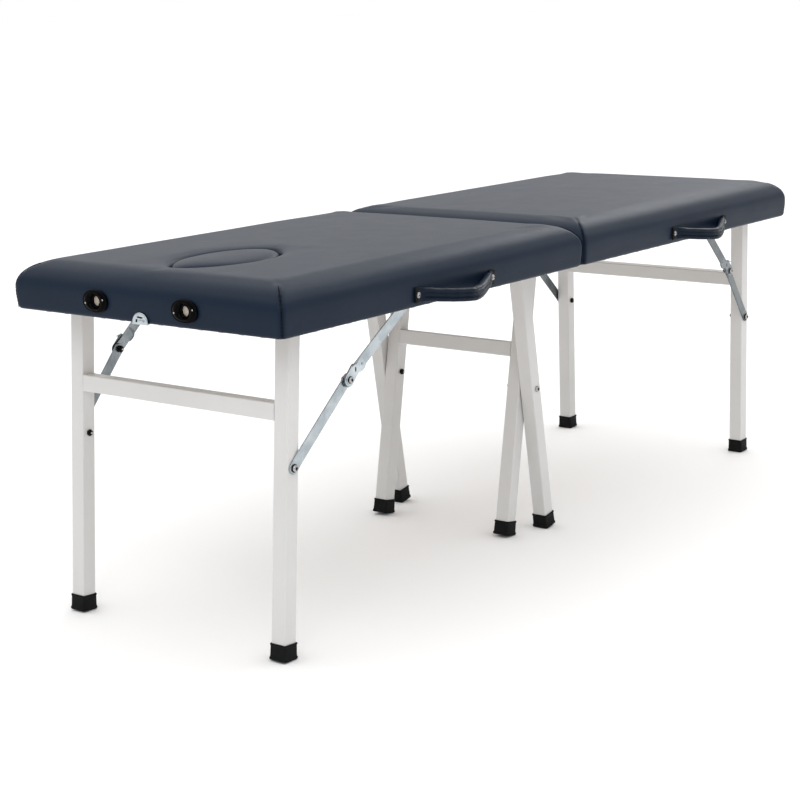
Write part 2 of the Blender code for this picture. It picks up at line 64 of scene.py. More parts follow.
# ---- upholstery
ROLL_IN = 0.06        # how far in the rolled top edge starts
ROLL_DOWN = 0.046      # how far down it reaches the flat side
ROLL_POWER = 2.15      # squareness of the roll, 2 is an ellipse
CORNER_R = 0.01       # radius of the vertical corners
CORNER_GROW = 0.35     # how much the corner radius grows as the roll goes in
CORNER_CUT = 0.29 * CORNER_R    # from the square corner to the round one, along either side
HEM_R = 0.0056         # small radius along the bottom edge
HEM_IN = 0.015         # how far the covering wraps under the rim
HEM_DROP = 0.0012      # how far the hem hangs below the rim
TAPER = 0.002         # how much narrower the covering is at its bottom edge
TAPER_H = 0.03        # height over which it narrows
COVER_T = 0.001       # thickness of the covering
CROWN = 0.0022         # rise of a top's middle
PUFF_CAP = 0.0013      # most that the simulation may move a point
LEAF_POWER = 1.12      # pointedness of the face plug's ends
HOLE_GAP = 0.0008      # from the CAD plug to the hole's wall
HOLE_MARGIN = 0.04    # width of the ring of quads around the face hole
HOLE_EVEN = 0.55       # how far the ring's points keep the grid's directions
GRID = 0.0085          # mesh spacing on the tops
SEAM_TOP_Z = 0.6445    # upper end of the sewn corner seams
STITCH = 0.0042
STITCH_GAP = 0.0018
STITCH_OUT = 0.0021    # from the seam to either row of stitches

# ---- folding stays and small parts
HALF_BAR = 0.00125     # half the thickness of a stay's bar
BAR_FLAT = 0.014       # straight length at both ends of a bar, before its joggle
PLATE_T = 0.0024
LOCK_HOLE = (0.0225, 0.0022)
BORE_CUT_R = 0.0117    # hole in the covering around a headrest bore
BORE_R = 0.0111
LINER_R = 0.0107
LINER_HOLE_R = 0.009
STAPLE_STEP = 0.045
STAPLE_INSET = 0.0105
STAPLE_FREE = 0.03     # half width without staples behind the catch
PAN_HEAD = ((0.98, 0.0), (1.0, 0.3), (0.92, 0.66), (0.74, 0.92), (0.56, 1.0), (0.5, 0.96), (0.44, 0.6),
            (0.1, 0.5))
CROSS = ((0.11, 0.11), (0.11, 0.4), (-0.11, 0.4), (-0.11, 0.11), (-0.4, 0.11), (-0.4, -0.11),
         (-0.11, -0.11), (-0.11, -0.4), (0.11, -0.4), (0.11, -0.11), (0.4, -0.11), (0.4, 0.11))
LOCK_PLATE = ((-0.0118, 0.003), (-0.0095, 0.008), (-0.004, 0.0114), (0.004, 0.0124), (0.012, 0.0134),
              (0.0185, 0.0144), (0.0232, 0.0138), (0.0262, 0.0112), (0.029, 0.0088), (0.033, 0.0082),
              (0.038, 0.009), (0.044, 0.0086), (0.0492, 0.0058), (0.052, 0.001), (0.0524, -0.0045),
              (0.05, -0.0098), (0.045, -0.013), (0.039, -0.0138), (0.0335, -0.013), (0.0295, -0.0108),
              (0.0255, -0.0084), (0.0205, -0.008), (0.014, -0.0096), (0.006, -0.0112), (-0.002, -0.0118),
              (-0.008, -0.0092), (-0.0114, -0.0042))

# ---- stage and camera
FLOOR = 300.0
FLOOR_Z = (-0.02, -0.0005)
FLOOR_VALUE = 0.95
LIGHT_AXIS = (0.8, 0.6, 0.0)          # direction along which the surroundings get brighter
AXIS_SPAN = (0.48, 0.74, -0.55, 0.65)   # brightness from and to, at which cosines
RISE_SPAN = (1.0, 1.5, 0.08, 0.34)     # factor from and to, at which heights of the sky
SUN_POWER = 1.1
SUN_ANGLE = 110.0
BOXES = (("end_box", (4.4, 0.9, 2.9), (0.1, -0.2, 0.6), (1.7, 1.2), 17.0),
         ("left_box", (-3.4, -2.0, 3.0), (0.0, 0.0, 0.4), (2.2, 2.2), 26.0))
CAMERA_AT = (-3.0902, -2.1288, 1.0934)
CAMERA_YAW = 0.6407
CAMERA_PITCH = 0.218
CAMERA_ROLL = -0.021
CAMERA_LENS = 82.09
SENSOR = 36.0


# ---- materials
class Nodes:
    """Small helper for building the node tree of a material or of the world."""

    def __init__(self, block, shader="Principled BSDF", space="Object"):
        block.use_nodes = True
        self.block = block
        self.tree = block.node_tree
        self.shader = self.tree.nodes[shader]
        self.coord = self.new("TexCoord", {}).outputs[space]

    def new(self, kind, inputs, **props):
        """Node with settings and inputs, each a number, a colour or another node's output."""
        node = self.tree.nodes.new("ShaderNode" + kind)
        for key, value in props.items():
            setattr(node, key, value)
        self.fill(node, inputs)
        return node

    def fill(self, node, inputs):
        for key, value in inputs.items():
            if isinstance(value, bpy.types.NodeSocket):
                self.tree.links.new(value, node.inputs[key])
            else:
                node.inputs[key].default_value = value

    def noise(self, scale, detail=3.0, rough=0.5, stretch=None):
        at = self.coord
        if stretch:
            at = self.new("Mapping", {"Vector": at, "Scale": stretch}).outputs["Vector"]
        inputs = {"Vector": at, "Scale": scale, "Detail": detail, "Roughness": rough}
        return self.new("TexNoise", inputs).outputs["Fac"]

    def cells(self, scale):
        inputs = {"Vector": self.coord, "Scale": scale}
        return self.new("TexVoronoi", inputs, feature="DISTANCE_TO_EDGE").outputs["Distance"]

    def span(self, value, to_lo=0.0, to_hi=1.0, lo=0.3, hi=0.7):
        inputs = {"Value": value, "From Min": lo, "From Max": hi, "To Min": to_lo, "To Max": to_hi}
        return self.new("MapRange", inputs).outputs["Result"]

    def math(self, op, a, b):
        return self.new("Math", {0: a, 1: b}, operation=op).outputs["Value"]

    def blend(self, factor, low, high):
        low, high = ((*c, 1.0) if isinstance(c, tuple) else c for c in (low, high))
        inputs = {"Factor": factor, "A": low, "B": high}
        return self.new("Mix", inputs, data_type="RGBA").outputs["Result"]

    def bump(self, height, strength, distance):
        inputs = {"Height": height, "Strength": strength, "Distance": distance}
        self.put(Normal=self.new("Bump", inputs).outputs["Normal"])

    def put(self, **values):
        """Sets or links inputs of the shader."""
        self.fill(self.shader, {key.replace("_", " "): value for key, value in values.items()})
        return self.block


def toned(color, tone):
    return tuple(tone * c for c in color)


def surface(name, low, high, rough, mottle, polish=None, relief=None, spread=(0.3, 0.7), **values):
    """Material between two colours and two roughnesses along noises, with a fine relief."""
    n = Nodes(bpy.data.materials.new(name))
    base = n.noise(*mottle)
    n.put(Base_Color=n.blend(n.span(base, 0.0, 1.0, *spread), low, high))
    n.put(Roughness=n.span(n.noise(*polish) if polish else base, *rough))
    if relief:
        *wave, strength, distance = relief
        n.bump(n.noise(*wave), strength, distance)
    return n.put(**values)


def leather(name, tone=1.0, rough=0.39, grain=1.0):
    """Matt blue-black covering with fine pores."""
    n = Nodes(bpy.data.materials.new(name))
    low, high = toned((0.0069, 0.0147, 0.031), tone), toned((0.0081, 0.0169, 0.0346), tone)
    pore = n.span(n.cells(780.0), 0.0, 1.0, 0.0, 0.12)
    base = n.blend(n.span(n.noise(7.0, 4.0, 0.6)), low, high)
    n.put(Base_Color=n.blend(pore, toned(low, 0.72), base))
    n.put(Roughness=n.span(n.noise(22.0, 3.0), rough - 0.012, rough + 0.014, 0.25, 0.75))
    fine = n.math("MULTIPLY", n.noise(1900.0, 2.0), 0.3)
    n.bump(n.math("ADD", n.math("MULTIPLY", pore, 0.7), fine), 0.16 * grain, 0.00025)
    return n.put(Specular_IOR_Level=0.127, Specular_Tint=(0.88, 0.955, 1.0, 1.0))


def zinc(name, tone=1.0):
    """Zinc plating with a faint spangle, brushed lengthwise."""
    streak = (260.0, 2.0, 0.5, (1.0, 1.0, 0.12))
    return surface(name, toned((0.4, 0.46, 0.49), tone), toned((0.58, 0.63, 0.66), tone), (0.24, 0.36),
                   (38.0, 3.0, 0.55), streak, (*streak, 0.06, 0.0002), (0.32, 0.68), Metallic=1.0)


def wood(name, tone=1.0, grey=0.0):
    """Sawn wood; grey takes the warmth out of it."""
    n = Nodes(bpy.data.materials.new(name))
    dark, low, high = (tuple(tone * (c + grey * (0.62 - c)) for c in color)
                       for color in ((0.3, 0.19, 0.1), (0.4, 0.27, 0.155), (0.62, 0.46, 0.29)))
    grain = n.noise(26.0, 6.0, 0.62, (0.1, 1.0, 1.0))
    pores = n.noise(520.0, 2.0, 0.5, (0.06, 1.0, 1.0))
    base = n.blend(n.span(grain), low, high)
    n.put(Base_Color=n.blend(n.span(pores, 0.0, 1.0, 0.25, 0.45), dark, base))
    n.put(Roughness=n.span(grain, 0.5, 0.66, 0.2, 0.8))
    n.bump(pores, 0.15, 0.0003)
    return n.block


WHOLE = (0.0, 1.0)
LEATHER = leather("leather_cover")
LEATHER_PLUG = leather("leather_plug", 0.98)
LEATHER_STRAP = leather("leather_strap", 0.7, 0.3, 1.2)
WHITE = surface("white_powder_coat", (0.622, 0.614, 0.604), (0.655, 0.648, 0.638), (0.34, 0.42), (5.0, 3.0),
                (60.0, 2.0), (1400.0, 2.0, 0.1, 0.0002), Specular_IOR_Level=0.45)
ZINC = zinc("zinc_plate")
ZINC_BRIGHT = zinc("zinc_bright", 0.98)
# Lit and shaded copies of the stays' zinc, one tone each for lower bar, upper bar and lock plate: painted
# shade, darker for the stays under the table.
STAY_SHADE_TONES = {("head", "near"): (0.84, 0.86, 0.98), ("head", "far"): (0.44, 0.54, 0.66),
              ("foot", "near"): (0.3, 0.26, 0.48), ("foot", "far"): (0.36, 0.34, 0.5)}
STAY_SHADED_ZINC = {key: [zinc(f"stay_zinc_{key[0]}_{key[1]}_{k}", tone) for k, tone in enumerate(tones)]
             for key, tones in STAY_SHADE_TONES.items()}
# Very dark zinc for the sheet behind each lock plate: painted shadow line.
ZINC_PAINTED_SHADOW = zinc("zinc_painted_shadow_edge", 0.3)
STEEL = surface("bright_steel", (0.3, 0.295, 0.29), (0.56, 0.555, 0.55), (0.18, 0.34), (420.0, 2.0),
                spread=WHOLE, Metallic=1.0)
RUBBER = surface("black_rubber", (0.0058, 0.0062, 0.0062), (0.0096, 0.01, 0.01), (0.5, 0.64),
                 (90.0, 4.0, 0.6), relief=(1600.0, 2.0, 0.18, 0.0002), Specular_IOR_Level=0.06)
GLOSS = surface("gloss_black_plastic", (0.0008, 0.0008, 0.0009), (0.0018, 0.0018, 0.002), (0.08, 0.16),
                (30.0, 2.0), relief=(700.0, 2.0, 0.04, 0.0001), spread=WHOLE, Specular_IOR_Level=0.035)
NYLON = surface("black_nylon", (0.0035, 0.0035, 0.0038), (0.0085, 0.0085, 0.009), (0.35, 0.5), (900.0, 2.0),
                spread=WHOLE, Specular_IOR_Level=0.08)
PLY = wood("plywood", 0.8, 0.45)
PINE = wood("pine_rail", 0.95, 0.35)
BORE_WOOD = wood("bore_lining", 1.0, 0.45)
# Dark thread colour, for the stitches and for the tubes that paint the shade in the seams.
THREAD_AND_SEAM_SHADE = surface("sewing_thread_and_seam_shade", (0.001, 0.0016, 0.0028), (0.003, 0.0046, 0.0075), (0.55, 0.7),
                 (1500.0, 1.0), spread=WHOLE, Specular_IOR_Level=0.04)


# ---- mesh helpers
def make(name, shape, mat, smooth=True):
    """Object from vertices and faces, its faces turned outwards."""
    verts, faces = shape
    mesh = bpy.data.meshes.new(name)
    mesh.from_pydata([tuple(map(float, v)) for v in verts], [], faces)
    bm = bmesh.new()
    bm.from_mesh(mesh)
    bmesh.ops.recalc_face_normals(bm, faces=bm.faces)
    bm.to_mesh(mesh)
    bm.free()
    mesh.materials.append(mat)
    for poly in mesh.polygons:
        poly.use_smooth = smooth
    ob = bpy.data.objects.new(name, mesh)
    bpy.context.scene.collection.objects.link(ob)
    return ob


def dress(ob, body, slot, *hides):
    """States a piece's body and the nodes it stands for; slot is not used."""
    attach(ob, body)
    if hides:
        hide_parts(*hides)
    return ob


def modifier(ob, kind, **props):
    mod = ob.modifiers.new(kind.lower(), kind)
    for key, value in props.items():
        setattr(mod, key, value)


def sharpen(ob, angle):
    ob.data.set_sharp_from_angle(angle=radians(angle))
    return ob


def bevel(ob, width, segments=2, angle=35.0):
    modifier(ob, "BEVEL", width=width, segments=segments, limit_method="ANGLE",
             angle_limit=radians(angle), harden_normals=False)
    return sharpen(ob, 40.0)


def subdivide(ob):
    modifier(ob, "SUBSURF", levels=1, render_levels=1)


def apply_modifiers(ob):
    bpy.context.view_layer.update()
    graph = bpy.context.evaluated_depsgraph_get()
    baked = bpy.data.meshes.new_from_object(ob.evaluated_get(graph))
    ob.modifiers.clear()
    ob.data = baked


def cut(ob, shape):
    """Takes a closed shape out of a piece."""
    tool = make("tool", shape, ob.data.materials[0], smooth=False)
    modifier(ob, "BOOLEAN", operation="DIFFERENCE", solver="EXACT", object=tool)
    apply_modifiers(ob)
    bpy.data.objects.remove(tool, do_unlink=True)


def loft(loops, closed=False):
    """Vertices and faces through loops of equal count, capped at both ends or closed into a ring."""
    count = len(loops[0])
    verts = [p for loop in loops for p in loop]
    faces = []
    for k in range(len(loops) if closed else len(loops) - 1):
        a, b = k * count, (k + 1) % len(loops) * count
        for i in range(count):
            j = (i + 1) % count
            faces.append((a + i, a + j, b + j, b + i))
    if not closed:
        faces.append(tuple(range(count - 1, -1, -1)))
        faces.append(tuple(range(len(verts) - count, len(verts))))
    return verts, faces


def circle(count, turn=0.0):
    """Angles evenly around."""
    return [2.0 * pi * k / count + turn for k in range(count)]


def arc(centre, r, start, steps=6, sweep=45.0):
    angles = [radians(start + sweep * k / steps) for k in range(steps + 1)]
    return [(centre[0] + r * cos(a), centre[1] + r * sin(a)) for a in angles]


def rounded(hx, hy, r, steps=4):
    """Outline of a rounded rectangle about the origin."""
    pts = []
    for sx, sy, start in ((1, 1, 0.0), (-1, 1, 90.0), (-1, -1, 180.0), (1, -1, 270.0)):
        pts.extend(arc((sx * (hx - r), sy * (hy - r)), r, start, steps, 90.0))
    return pts


def power(value, exponent):
    """Power that keeps the sign."""
    return copysign(abs(value) ** exponent, value)


def bell(x, width):
    return np.exp(-(x / width) ** 2)


def lathe(profile, count=32, turn=0.0):
    """Solid of revolution about +Z from (radius, height) points."""
    return loft([[(r * cos(a), r * sin(a), z) for a in circle(count, turn)] for r, z in profile])


def aligned(point, direction):
    """Matrix that takes +Z to a direction and the origin to a point."""
    spin = Vector((0.0, 0.0, 1.0)).rotation_difference(Vector(direction)).to_matrix().to_4x4()
    return Matrix.Translation(Vector(point)) @ spin


def smoothstep(t):
    t = np.clip(t, 0.0, 1.0)
    return t * t * (3.0 - 2.0 * t)


def middle(node):
    lo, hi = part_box(node)
    return (lo + hi) / 2


# ---- upholstered panels
def stations(count):
    """Fractions along a side, closer together near both corners."""
    k = np.arange(count)
    step = 0.26 + 0.74 * smoothstep(np.minimum(k, count - 1 - k) / 9.0)
    return np.concatenate([[0.0], np.cumsum(step)]) / step.sum()


def side_points(path, count):
    """Points from the middle of one corner arc to the middle of the next."""
    path = np.array(path)
    step = np.linalg.norm(np.diff(path, axis=0), axis=1)
    length = np.concatenate([[0.0], np.cumsum(step)])
    at = stations(count) * length[-1]
    return np.stack([np.interp(at, length, path[:, k]) for k in (0, 1)], axis=1)


def outline(lo, hi, inset, r, nx, ny):
    """Closed outline of a rounded rectangle as four sides, each starting mid-corner."""
    x0, x1, y0, y1 = (lo.x + inset + r, hi.x - inset - r, lo.y + inset + r, hi.y - inset - r)
    centres = ((x0, y0), (x1, y0), (x1, y1), (x0, y1))
    sides = []
    for k, start in enumerate((225.0, 315.0, 45.0, 135.0)):
        path = arc(centres[k], r, start) + arc(centres[(k + 1) % 4], r, start + 45.0)
        sides.append(side_points(path, ny if k % 2 else nx))
    return sides


def coons(sides, nx, ny):
    """Grid of points filling the four sides (near, right, far, left)."""
    near, right, far, left = sides
    far = far[::-1]
    left = left[::-1]
    u = stations(nx)[:, None, None]
    v = stations(ny)[None, :, None]
    ruled_v = (1 - v) * near[:, None, :] + v * far[:, None, :]
    ruled_u = (1 - u) * left[None, :, :] + u * right[None, :, :]
    corners = ((1 - u) * (1 - v) * near[0] + u * (1 - v) * near[-1]
               + (1 - u) * v * far[0] + u * v * far[-1])
    return ruled_v + ruled_u - corners


def taper(z):
    """Inset of the flat sides towards the bottom edge."""
    return TAPER * float(1.0 - smoothstep((z - BOTTOM_Z) / TAPER_H))


def edge_profile():
    """Rings from the top's edge, over the roll, down the side and under the rim: (inset, z, corner r)."""
    rings = []
    side_top = TOP_Z - ROLL_DOWN
    side_low = BOTTOM_Z + HEM_R
    roll_steps, side_steps, hem_steps = 15, 7, 5
    for k in range(roll_steps + 1):
        a = pi / 2 * k / roll_steps
        inset = ROLL_IN * (1.0 - sin(a) ** (2.0 / ROLL_POWER))
        z = TOP_Z - ROLL_DOWN * (1.0 - cos(a) ** (2.0 / ROLL_POWER))
        rings.append((inset, z, CORNER_R + CORNER_GROW * inset))
    for k in range(1, side_steps + 1):
        z = side_top + (side_low - side_top) * k / side_steps
        rings.append((taper(z), z, CORNER_R))
    for k in range(1, hem_steps + 1):
        a = pi / 2 * k / hem_steps
        z = side_low - (HEM_R + HEM_DROP) * sin(a)
        rings.append((taper(z) + HEM_R * (1 - cos(a)), z, CORNER_R))
    rings.append((TAPER + HEM_R + 0.004, BOTTOM_Z - HEM_DROP, CORNER_R))
    rings.append((HEM_IN, BOTTOM_Z - HEM_DROP, 0.006))
    return rings


# rings from the top surface into the face hole: (offset out from the hole's wall, depth below the top)
HOLE_PROFILE = ((0.026, 0.0002), (0.019, 0.0006), (0.0135, 0.0013), (0.0098, 0.0022), (0.007, 0.0034),
                (0.0048, 0.005), (0.0031, 0.007), (0.0017, 0.0096), (0.0006, 0.0132), (0.0, 0.0172),
                (0.0, TOP_Z - DECK_Z - 0.004), (0.0, TOP_Z - DECK_Z - 0.0004))


def leaf(oval, shrink, t):
    """Point on an oval (centre and half axes) whose two ends are slightly pointed."""
    cx, cy, a, b = oval
    return cx + (a - shrink) * cos(t), cy + (b - shrink) * power(sin(t), LEAF_POWER)


def add_ring(verts, faces, previous, points, z):
    """Adds a ring of points and the quads between it and the ring before; returns its indices."""
    ring = list(range(len(verts), len(verts) + len(points)))
    verts.extend([(p[0], p[1], z) for p in points])
    for k in range(len(ring)):
        m = (k + 1) % len(ring)
        faces.append((previous[k], ring[k], ring[m], previous[m]))
    return ring


def grid_loop(index, i0, i1, j0, j1):
    """Vertex indices around a block of the grid."""
    loop = [index[i, j0] for i in range(i0, i1)] + [index[i1, j] for j in range(j0, j1)]
    return loop + [index[i, j1] for i in range(i1, i0, -1)] + [index[i0, j] for j in range(j1, j0, -1)]


def cover_mesh(lo, hi, hole):
    """Vertices and quads of one panel's covering, open underneath."""
    nx = int(round((hi.x - lo.x - 2 * ROLL_IN) / GRID))
    ny = int(round((hi.y - lo.y - 2 * ROLL_IN) / GRID))
    rings = edge_profile()
    outlines = [outline(lo, hi, d, r, nx, ny) for d, z, r in rings]
    top = coons(outlines[0], nx, ny)
    index = -np.ones((nx + 1, ny + 1), int)
    block = None
    if hole:
        cx, cy, a, b = hole
        in_x = [i for i in range(nx + 1) if abs(top[i, ny // 2, 0] - cx) < a + HOLE_MARGIN]
        in_y = [j for j in range(ny + 1) if abs(top[nx // 2, j, 1] - cy) < b + HOLE_MARGIN]
        block = (max(in_x[0], 1), min(in_x[-1], nx - 1), in_y[0], in_y[-1])
    verts = []
    for i in range(nx + 1):
        for j in range(ny + 1):
            if block and block[0] < i < block[1] and block[2] < j < block[3]:
                continue
            index[i, j] = len(verts)
            verts.append((top[i, j, 0], top[i, j, 1], TOP_Z))
    faces = []
    for i in range(nx):
        for j in range(ny):
            if not (block and block[0] <= i < block[1] and block[2] <= j < block[3]):
                faces.append((index[i, j], index[i + 1, j], index[i + 1, j + 1], index[i, j + 1]))
    previous = grid_loop(index, 0, nx, 0, ny)
    for (d, z, r), sides in zip(rings[1:], outlines[1:]):
        previous = add_ring(verts, faces, previous, np.concatenate([s[:-1] for s in sides]), z)
    if block:
        previous = grid_loop(index, *block)
        base = np.array([verts[k][:2] for k in previous])
        angle = np.arctan2((base[:, 1] - cy) / b, (base[:, 0] - cx) / a)
        spread = np.linspace(0.0, 2.0 * pi, len(previous), endpoint=False) + angle[0]
        spread = spread + np.angle(np.exp(1j * (angle - spread))) * HOLE_EVEN
        for d, depth in HOLE_PROFILE:
            previous = add_ring(verts, faces, previous, [leaf(hole, -d, t) for t in spread], TOP_Z - depth)
    return np.array(verts), faces


def slack(p, seed):
    """Small unevenness of a covering's top."""
    q = Vector(p)
    return (noise.noise(q * 3.0 + Vector((seed, 0, 0))) * 0.0004
            + noise.noise(q * 9.0 + Vector((0, seed, 0))) * 0.00012)


def sew_corner(out, co, corner, inward):
    """Sinks the seam's groove at one corner and gathers the covering at the seam's top."""
    side = np.array(inward)
    way = side / sqrt(2.0)
    tip = np.array(corner) + side * CORNER_CUT
    along = (co[:, :2] - tip) @ np.array([inward[0], -inward[1]]) / sqrt(2.0)
    depth = (co[:, :2] - tip) @ way
    near = np.linalg.norm(co[:, :2] - np.array(corner), axis=1) < 0.09
    groove = bell(along, 0.0016) * near * smoothstep((SEAM_TOP_Z + 0.003 - co[:, 2]) / 0.012)
    groove *= smoothstep((0.06 - depth) / 0.015)
    out[:, :2] += (groove * 0.0011)[:, None] * way[None, :]
    out[:, 2] -= groove * 0.0006 * smoothstep(depth / 0.02)
    ridge = bell(along - 0.0042, 0.0028) + 0.7 * bell(along + 0.0046, 0.003)
    ridge *= bell(co[:, 2] - SEAM_TOP_Z, 0.005) * near * (depth < 0.06)
    out[:, 2] += ridge * 0.0011
    out[:, :2] -= (ridge * 0.0007)[:, None] * way[None, :]


def soften(co, lo, hi, seed):
    """Gentle crown, slack and seams of a sewn cover over foam."""
    out = co.copy()
    mid = np.array([(lo.x + hi.x) / 2, (lo.y + hi.y) / 2])
    half = np.array([(hi.x - lo.x) / 2, (hi.y - lo.y) / 2])
    rel = np.abs(co[:, :2] - mid) / half
    on_top = smoothstep((co[:, 2] - (TOP_Z - 0.03)) / 0.028)
    crown = CROWN * (1 - rel[:, 0] ** 2) * (1 - rel[:, 1] ** 2)
    for k, p in enumerate(co):
        out[k, 2] += on_top[k] * (crown[k] + slack(p, seed))
        side = (1.0 - on_top[k]) * smoothstep((p[2] - BOTTOM_Z - 0.004) / 0.02)
        if side > 0.0:
            n = (p[:2] - mid) / half
            axis = 0 if abs(n[0]) > abs(n[1]) else 1
            ripple = noise.noise(Vector((p[0] * 9.0, p[1] * 9.0, p[2] * 14.0 + seed))) * 0.001
            out[k, axis] += side * (ripple - 0.0004) * copysign(1.0, n[axis])
    for word, corner, inward in corners(lo, hi):
        sew_corner(out, co, corner, inward)
    return out


def corners(lo, hi):
    """Name, place and inward signs of a panel's four corners."""
    return [(f"{a}_{b}", (x, y), (dx, dy)) for a, x, dx in (("a", lo.x, 1.0), ("b", hi.x, -1.0))
            for b, y, dy in (("near", lo.y, 1.0), ("far", hi.y, -1.0))]


def puff(ob, free_from):
    """Cloth simulation of the covering over its foam: the lower edge is held, the top swells a little."""
    rest = np.array([v.co for v in ob.data.vertices])
    held = ob.vertex_groups.new(name="held")
    for k, p in enumerate(rest):
        weight = 1.0 - float(free_from(p))
        if weight > 0.0:
            held.add([k], weight, "REPLACE")
    cloth = ob.modifiers.new("cloth", "CLOTH")
    for key, value in (("use_pressure", True), ("uniform_pressure_force", 4.0), ("vertex_group_mass", "held"),
                       ("quality", 4), ("tension_stiffness", 12.0), ("bending_stiffness", 2.5)):
        setattr(cloth.settings, key, value)
    cloth.settings.effector_weights.gravity = 0.0
    scene = bpy.context.scene
    for f in range(1, 21):
        scene.frame_set(f)
    graph = bpy.context.evaluated_depsgraph_get()
    swollen = np.array([v.co for v in ob.evaluated_get(graph).data.vertices])
    ob.modifiers.remove(cloth)
    ob.vertex_groups.clear()
    scene.frame_set(1)
    move = swollen - rest
    size = np.linalg.norm(move, axis=1)
    scale = np.where(size > 1e-9, PUFF_CAP * np.tanh(size / PUFF_CAP) / np.maximum(size, 1e-9), 0.0)
    final = rest + move * scale[:, None]
    ob.data.vertices.foreach_set("co", final.astype(np.float32).ravel())
    ob.data.update()


def disc_loops(cy, cz, rows, count=40):
    """Circles about an X axis from (x, radius) rows."""
    return [[(x, cy + r * cos(t), cz + r * sin(t)) for t in circle(count)] for x, r in rows]


def cover(tag, hole=None, seed=0.0):
    lo, hi = PANELS[tag]
    verts, faces = cover_mesh(lo, hi, hole)
    ob = make(tag + "_cover", (soften(verts, lo, hi, seed), faces), LEATHER)

    def free(p):
        rise = float(smoothstep((p[2] - (TOP_Z - 0.036)) / 0.02))
        if hole:
            q = hypot((p[0] - hole[0]) / hole[2], (p[1] - hole[1]) / hole[3])
            rise *= float(smoothstep((q - 1.06) / 0.2))
        return rise

    puff(ob, free)
    modifier(ob, "SOLIDIFY", thickness=COVER_T, offset=-1.0)
    subdivide(ob)
    apply_modifiers(ob)
    if hole:
        for side in SIDES:
            a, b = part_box("headrest_socket_" + side)
            mid = (a + b) / 2
            cut(ob, loft(disc_loops(mid.y, mid.z, ((a.x - 0.02, BORE_CUT_R), (b.x + 0.03, BORE_CUT_R)))))
    for poly in ob.data.polygons:
        poly.use_smooth = True
    dress(ob, tag + "_panel", "leather", tag + "_cushion", tag + "_skirt")


def roll_back(z):
    """How far in along a corner's diagonal the covering lies at a height."""
    rise = min(max((z - (TOP_Z - ROLL_DOWN)) / ROLL_DOWN, 0.0), 1.0)
    inset = ROLL_IN * (1.0 - (1.0 - rise ** ROLL_POWER) ** (1.0 / ROLL_POWER))
    return sqrt(2.0) * (inset * (1.0 + 0.293 * CORNER_GROW) + taper(z))


def corner_seam(name, corner, inward, body):
    """Closed seam line with its stitches down one vertical corner; the line is a dark tube in the groove,
    painted shade of the crease.
    """
    side = Vector((*inward, 0.0))
    tip = Vector((*corner, 0.0)) + side * CORNER_CUT
    d = side.normalized()
    across = Vector((-d.y, d.x, 0.0))
    verts, faces = [], []

    def tube(points, r, count):
        loops = []
        for k, p in enumerate(points):
            t = (points[min(k + 1, len(points) - 1)] - points[max(k - 1, 0)]).normalized()
            right = t.cross(d).normalized()
            up = right.cross(t).normalized()
            loops.append([tuple(p + right * (r * cos(a)) + up * (r * sin(a))) for a in circle(count)])
        v, f = loft(loops)
        faces.extend([tuple(len(verts) + i for i in face) for face in f])
        verts.extend(v)

    def spot(z, sink, aside=0.0):
        return tip + d * (roll_back(z) + sink) + across * aside + Vector((0.0, 0.0, z))

    low = BOTTOM_Z + 0.001
    # Dark tube along the groove: painted shade in the seam's crease.
    tube([spot(low + (SEAM_TOP_Z - low) * k / 30, 0.0009) for k in range(31)], 0.0007, 8)
    z = low + 0.004
    while z + STITCH < SEAM_TOP_Z - 0.004:
        for s in (-1.0, 1.0):
            tube([spot(z + STITCH * k / 3, 0.0007 - 0.00035 * sin(pi * k / 3), s * STITCH_OUT)
                  for k in range(4)], 0.00035, 6)
        z += STITCH + STITCH_GAP
    dress(make(name, (verts, faces), THREAD_AND_SEAM_SHADE), body, "leather")


def plug(hole):
    """Crowned oval plug that sits in the face hole."""
    low = PLUG_LO.z + 0.0004
    rings = [(0.012, low), (0.004, low), (0.0012, low + 0.0012), (0.0, low + 0.005)]
    rings += [(d, TOP_Z + rise) for d, rise in (
        (0.0, -0.016), (0.0005, -0.0118), (0.0015, -0.0082), (0.0034, -0.0052), (0.0064, -0.0026),
        (0.011, -0.0004), (0.0175, 0.0014), (0.0265, 0.0028), (0.038, 0.0038), (0.052, 0.0044),
        (0.064, 0.0046))]
    loops = []
    for d, z in rings:
        pts = [leaf(hole, d + 0.0012, t) for t in circle(128)]
        uneven = 0.0007 if z > TOP_Z - 0.008 else 0.0
        loops.append([(x, y, z + noise.noise(Vector((x * 16.0, y * 16.0, 3.0))) * uneven) for x, y in pts])
    ob = make("face_plug_pad", loft(loops), LEATHER_PLUG)
    subdivide(ob)
    dress(ob, "face_plug", "leather", "face_plug")


def plug_seam_shade(hole):
    """Thin rolled seam around the top edge of the plug, a dark thread tube down in the gap: painted shade of
    the seam.
    """
    r = 0.0009
    loops = []
    for t in circle(160):
        n = Vector((cos(t) / hole[2], sin(t) / hole[3], 0.0)).normalized()
        p = Vector((*leaf(hole, 0.0034, t), TOP_Z - 0.008))
        loops.append([tuple(p + n * (r * cos(a)) + Vector((0, 0, r * sin(a)))) for a in circle(8)])
    dress(make("face_plug_seam_shade", loft(loops, closed=True), THREAD_AND_SEAM_SHADE), "face_plug", "leather")


def panels():
    mid = middle("face_plug")
    hole = (mid.x, mid.y, (PLUG_HI.x - PLUG_LO.x) / 2 + HOLE_GAP, (PLUG_HI.y - PLUG_LO.y) / 2 + HOLE_GAP)
    cover("head", hole, 1.7)
    cover("foot", None, 5.2)
    plug(hole)
    plug_seam_shade(hole)
    for tag, (lo, hi) in PANELS.items():
        for word, corner, inward in corners(lo, hi):
            corner_seam(f"{tag}_seam_{word}", corner, inward, tag + "_panel")


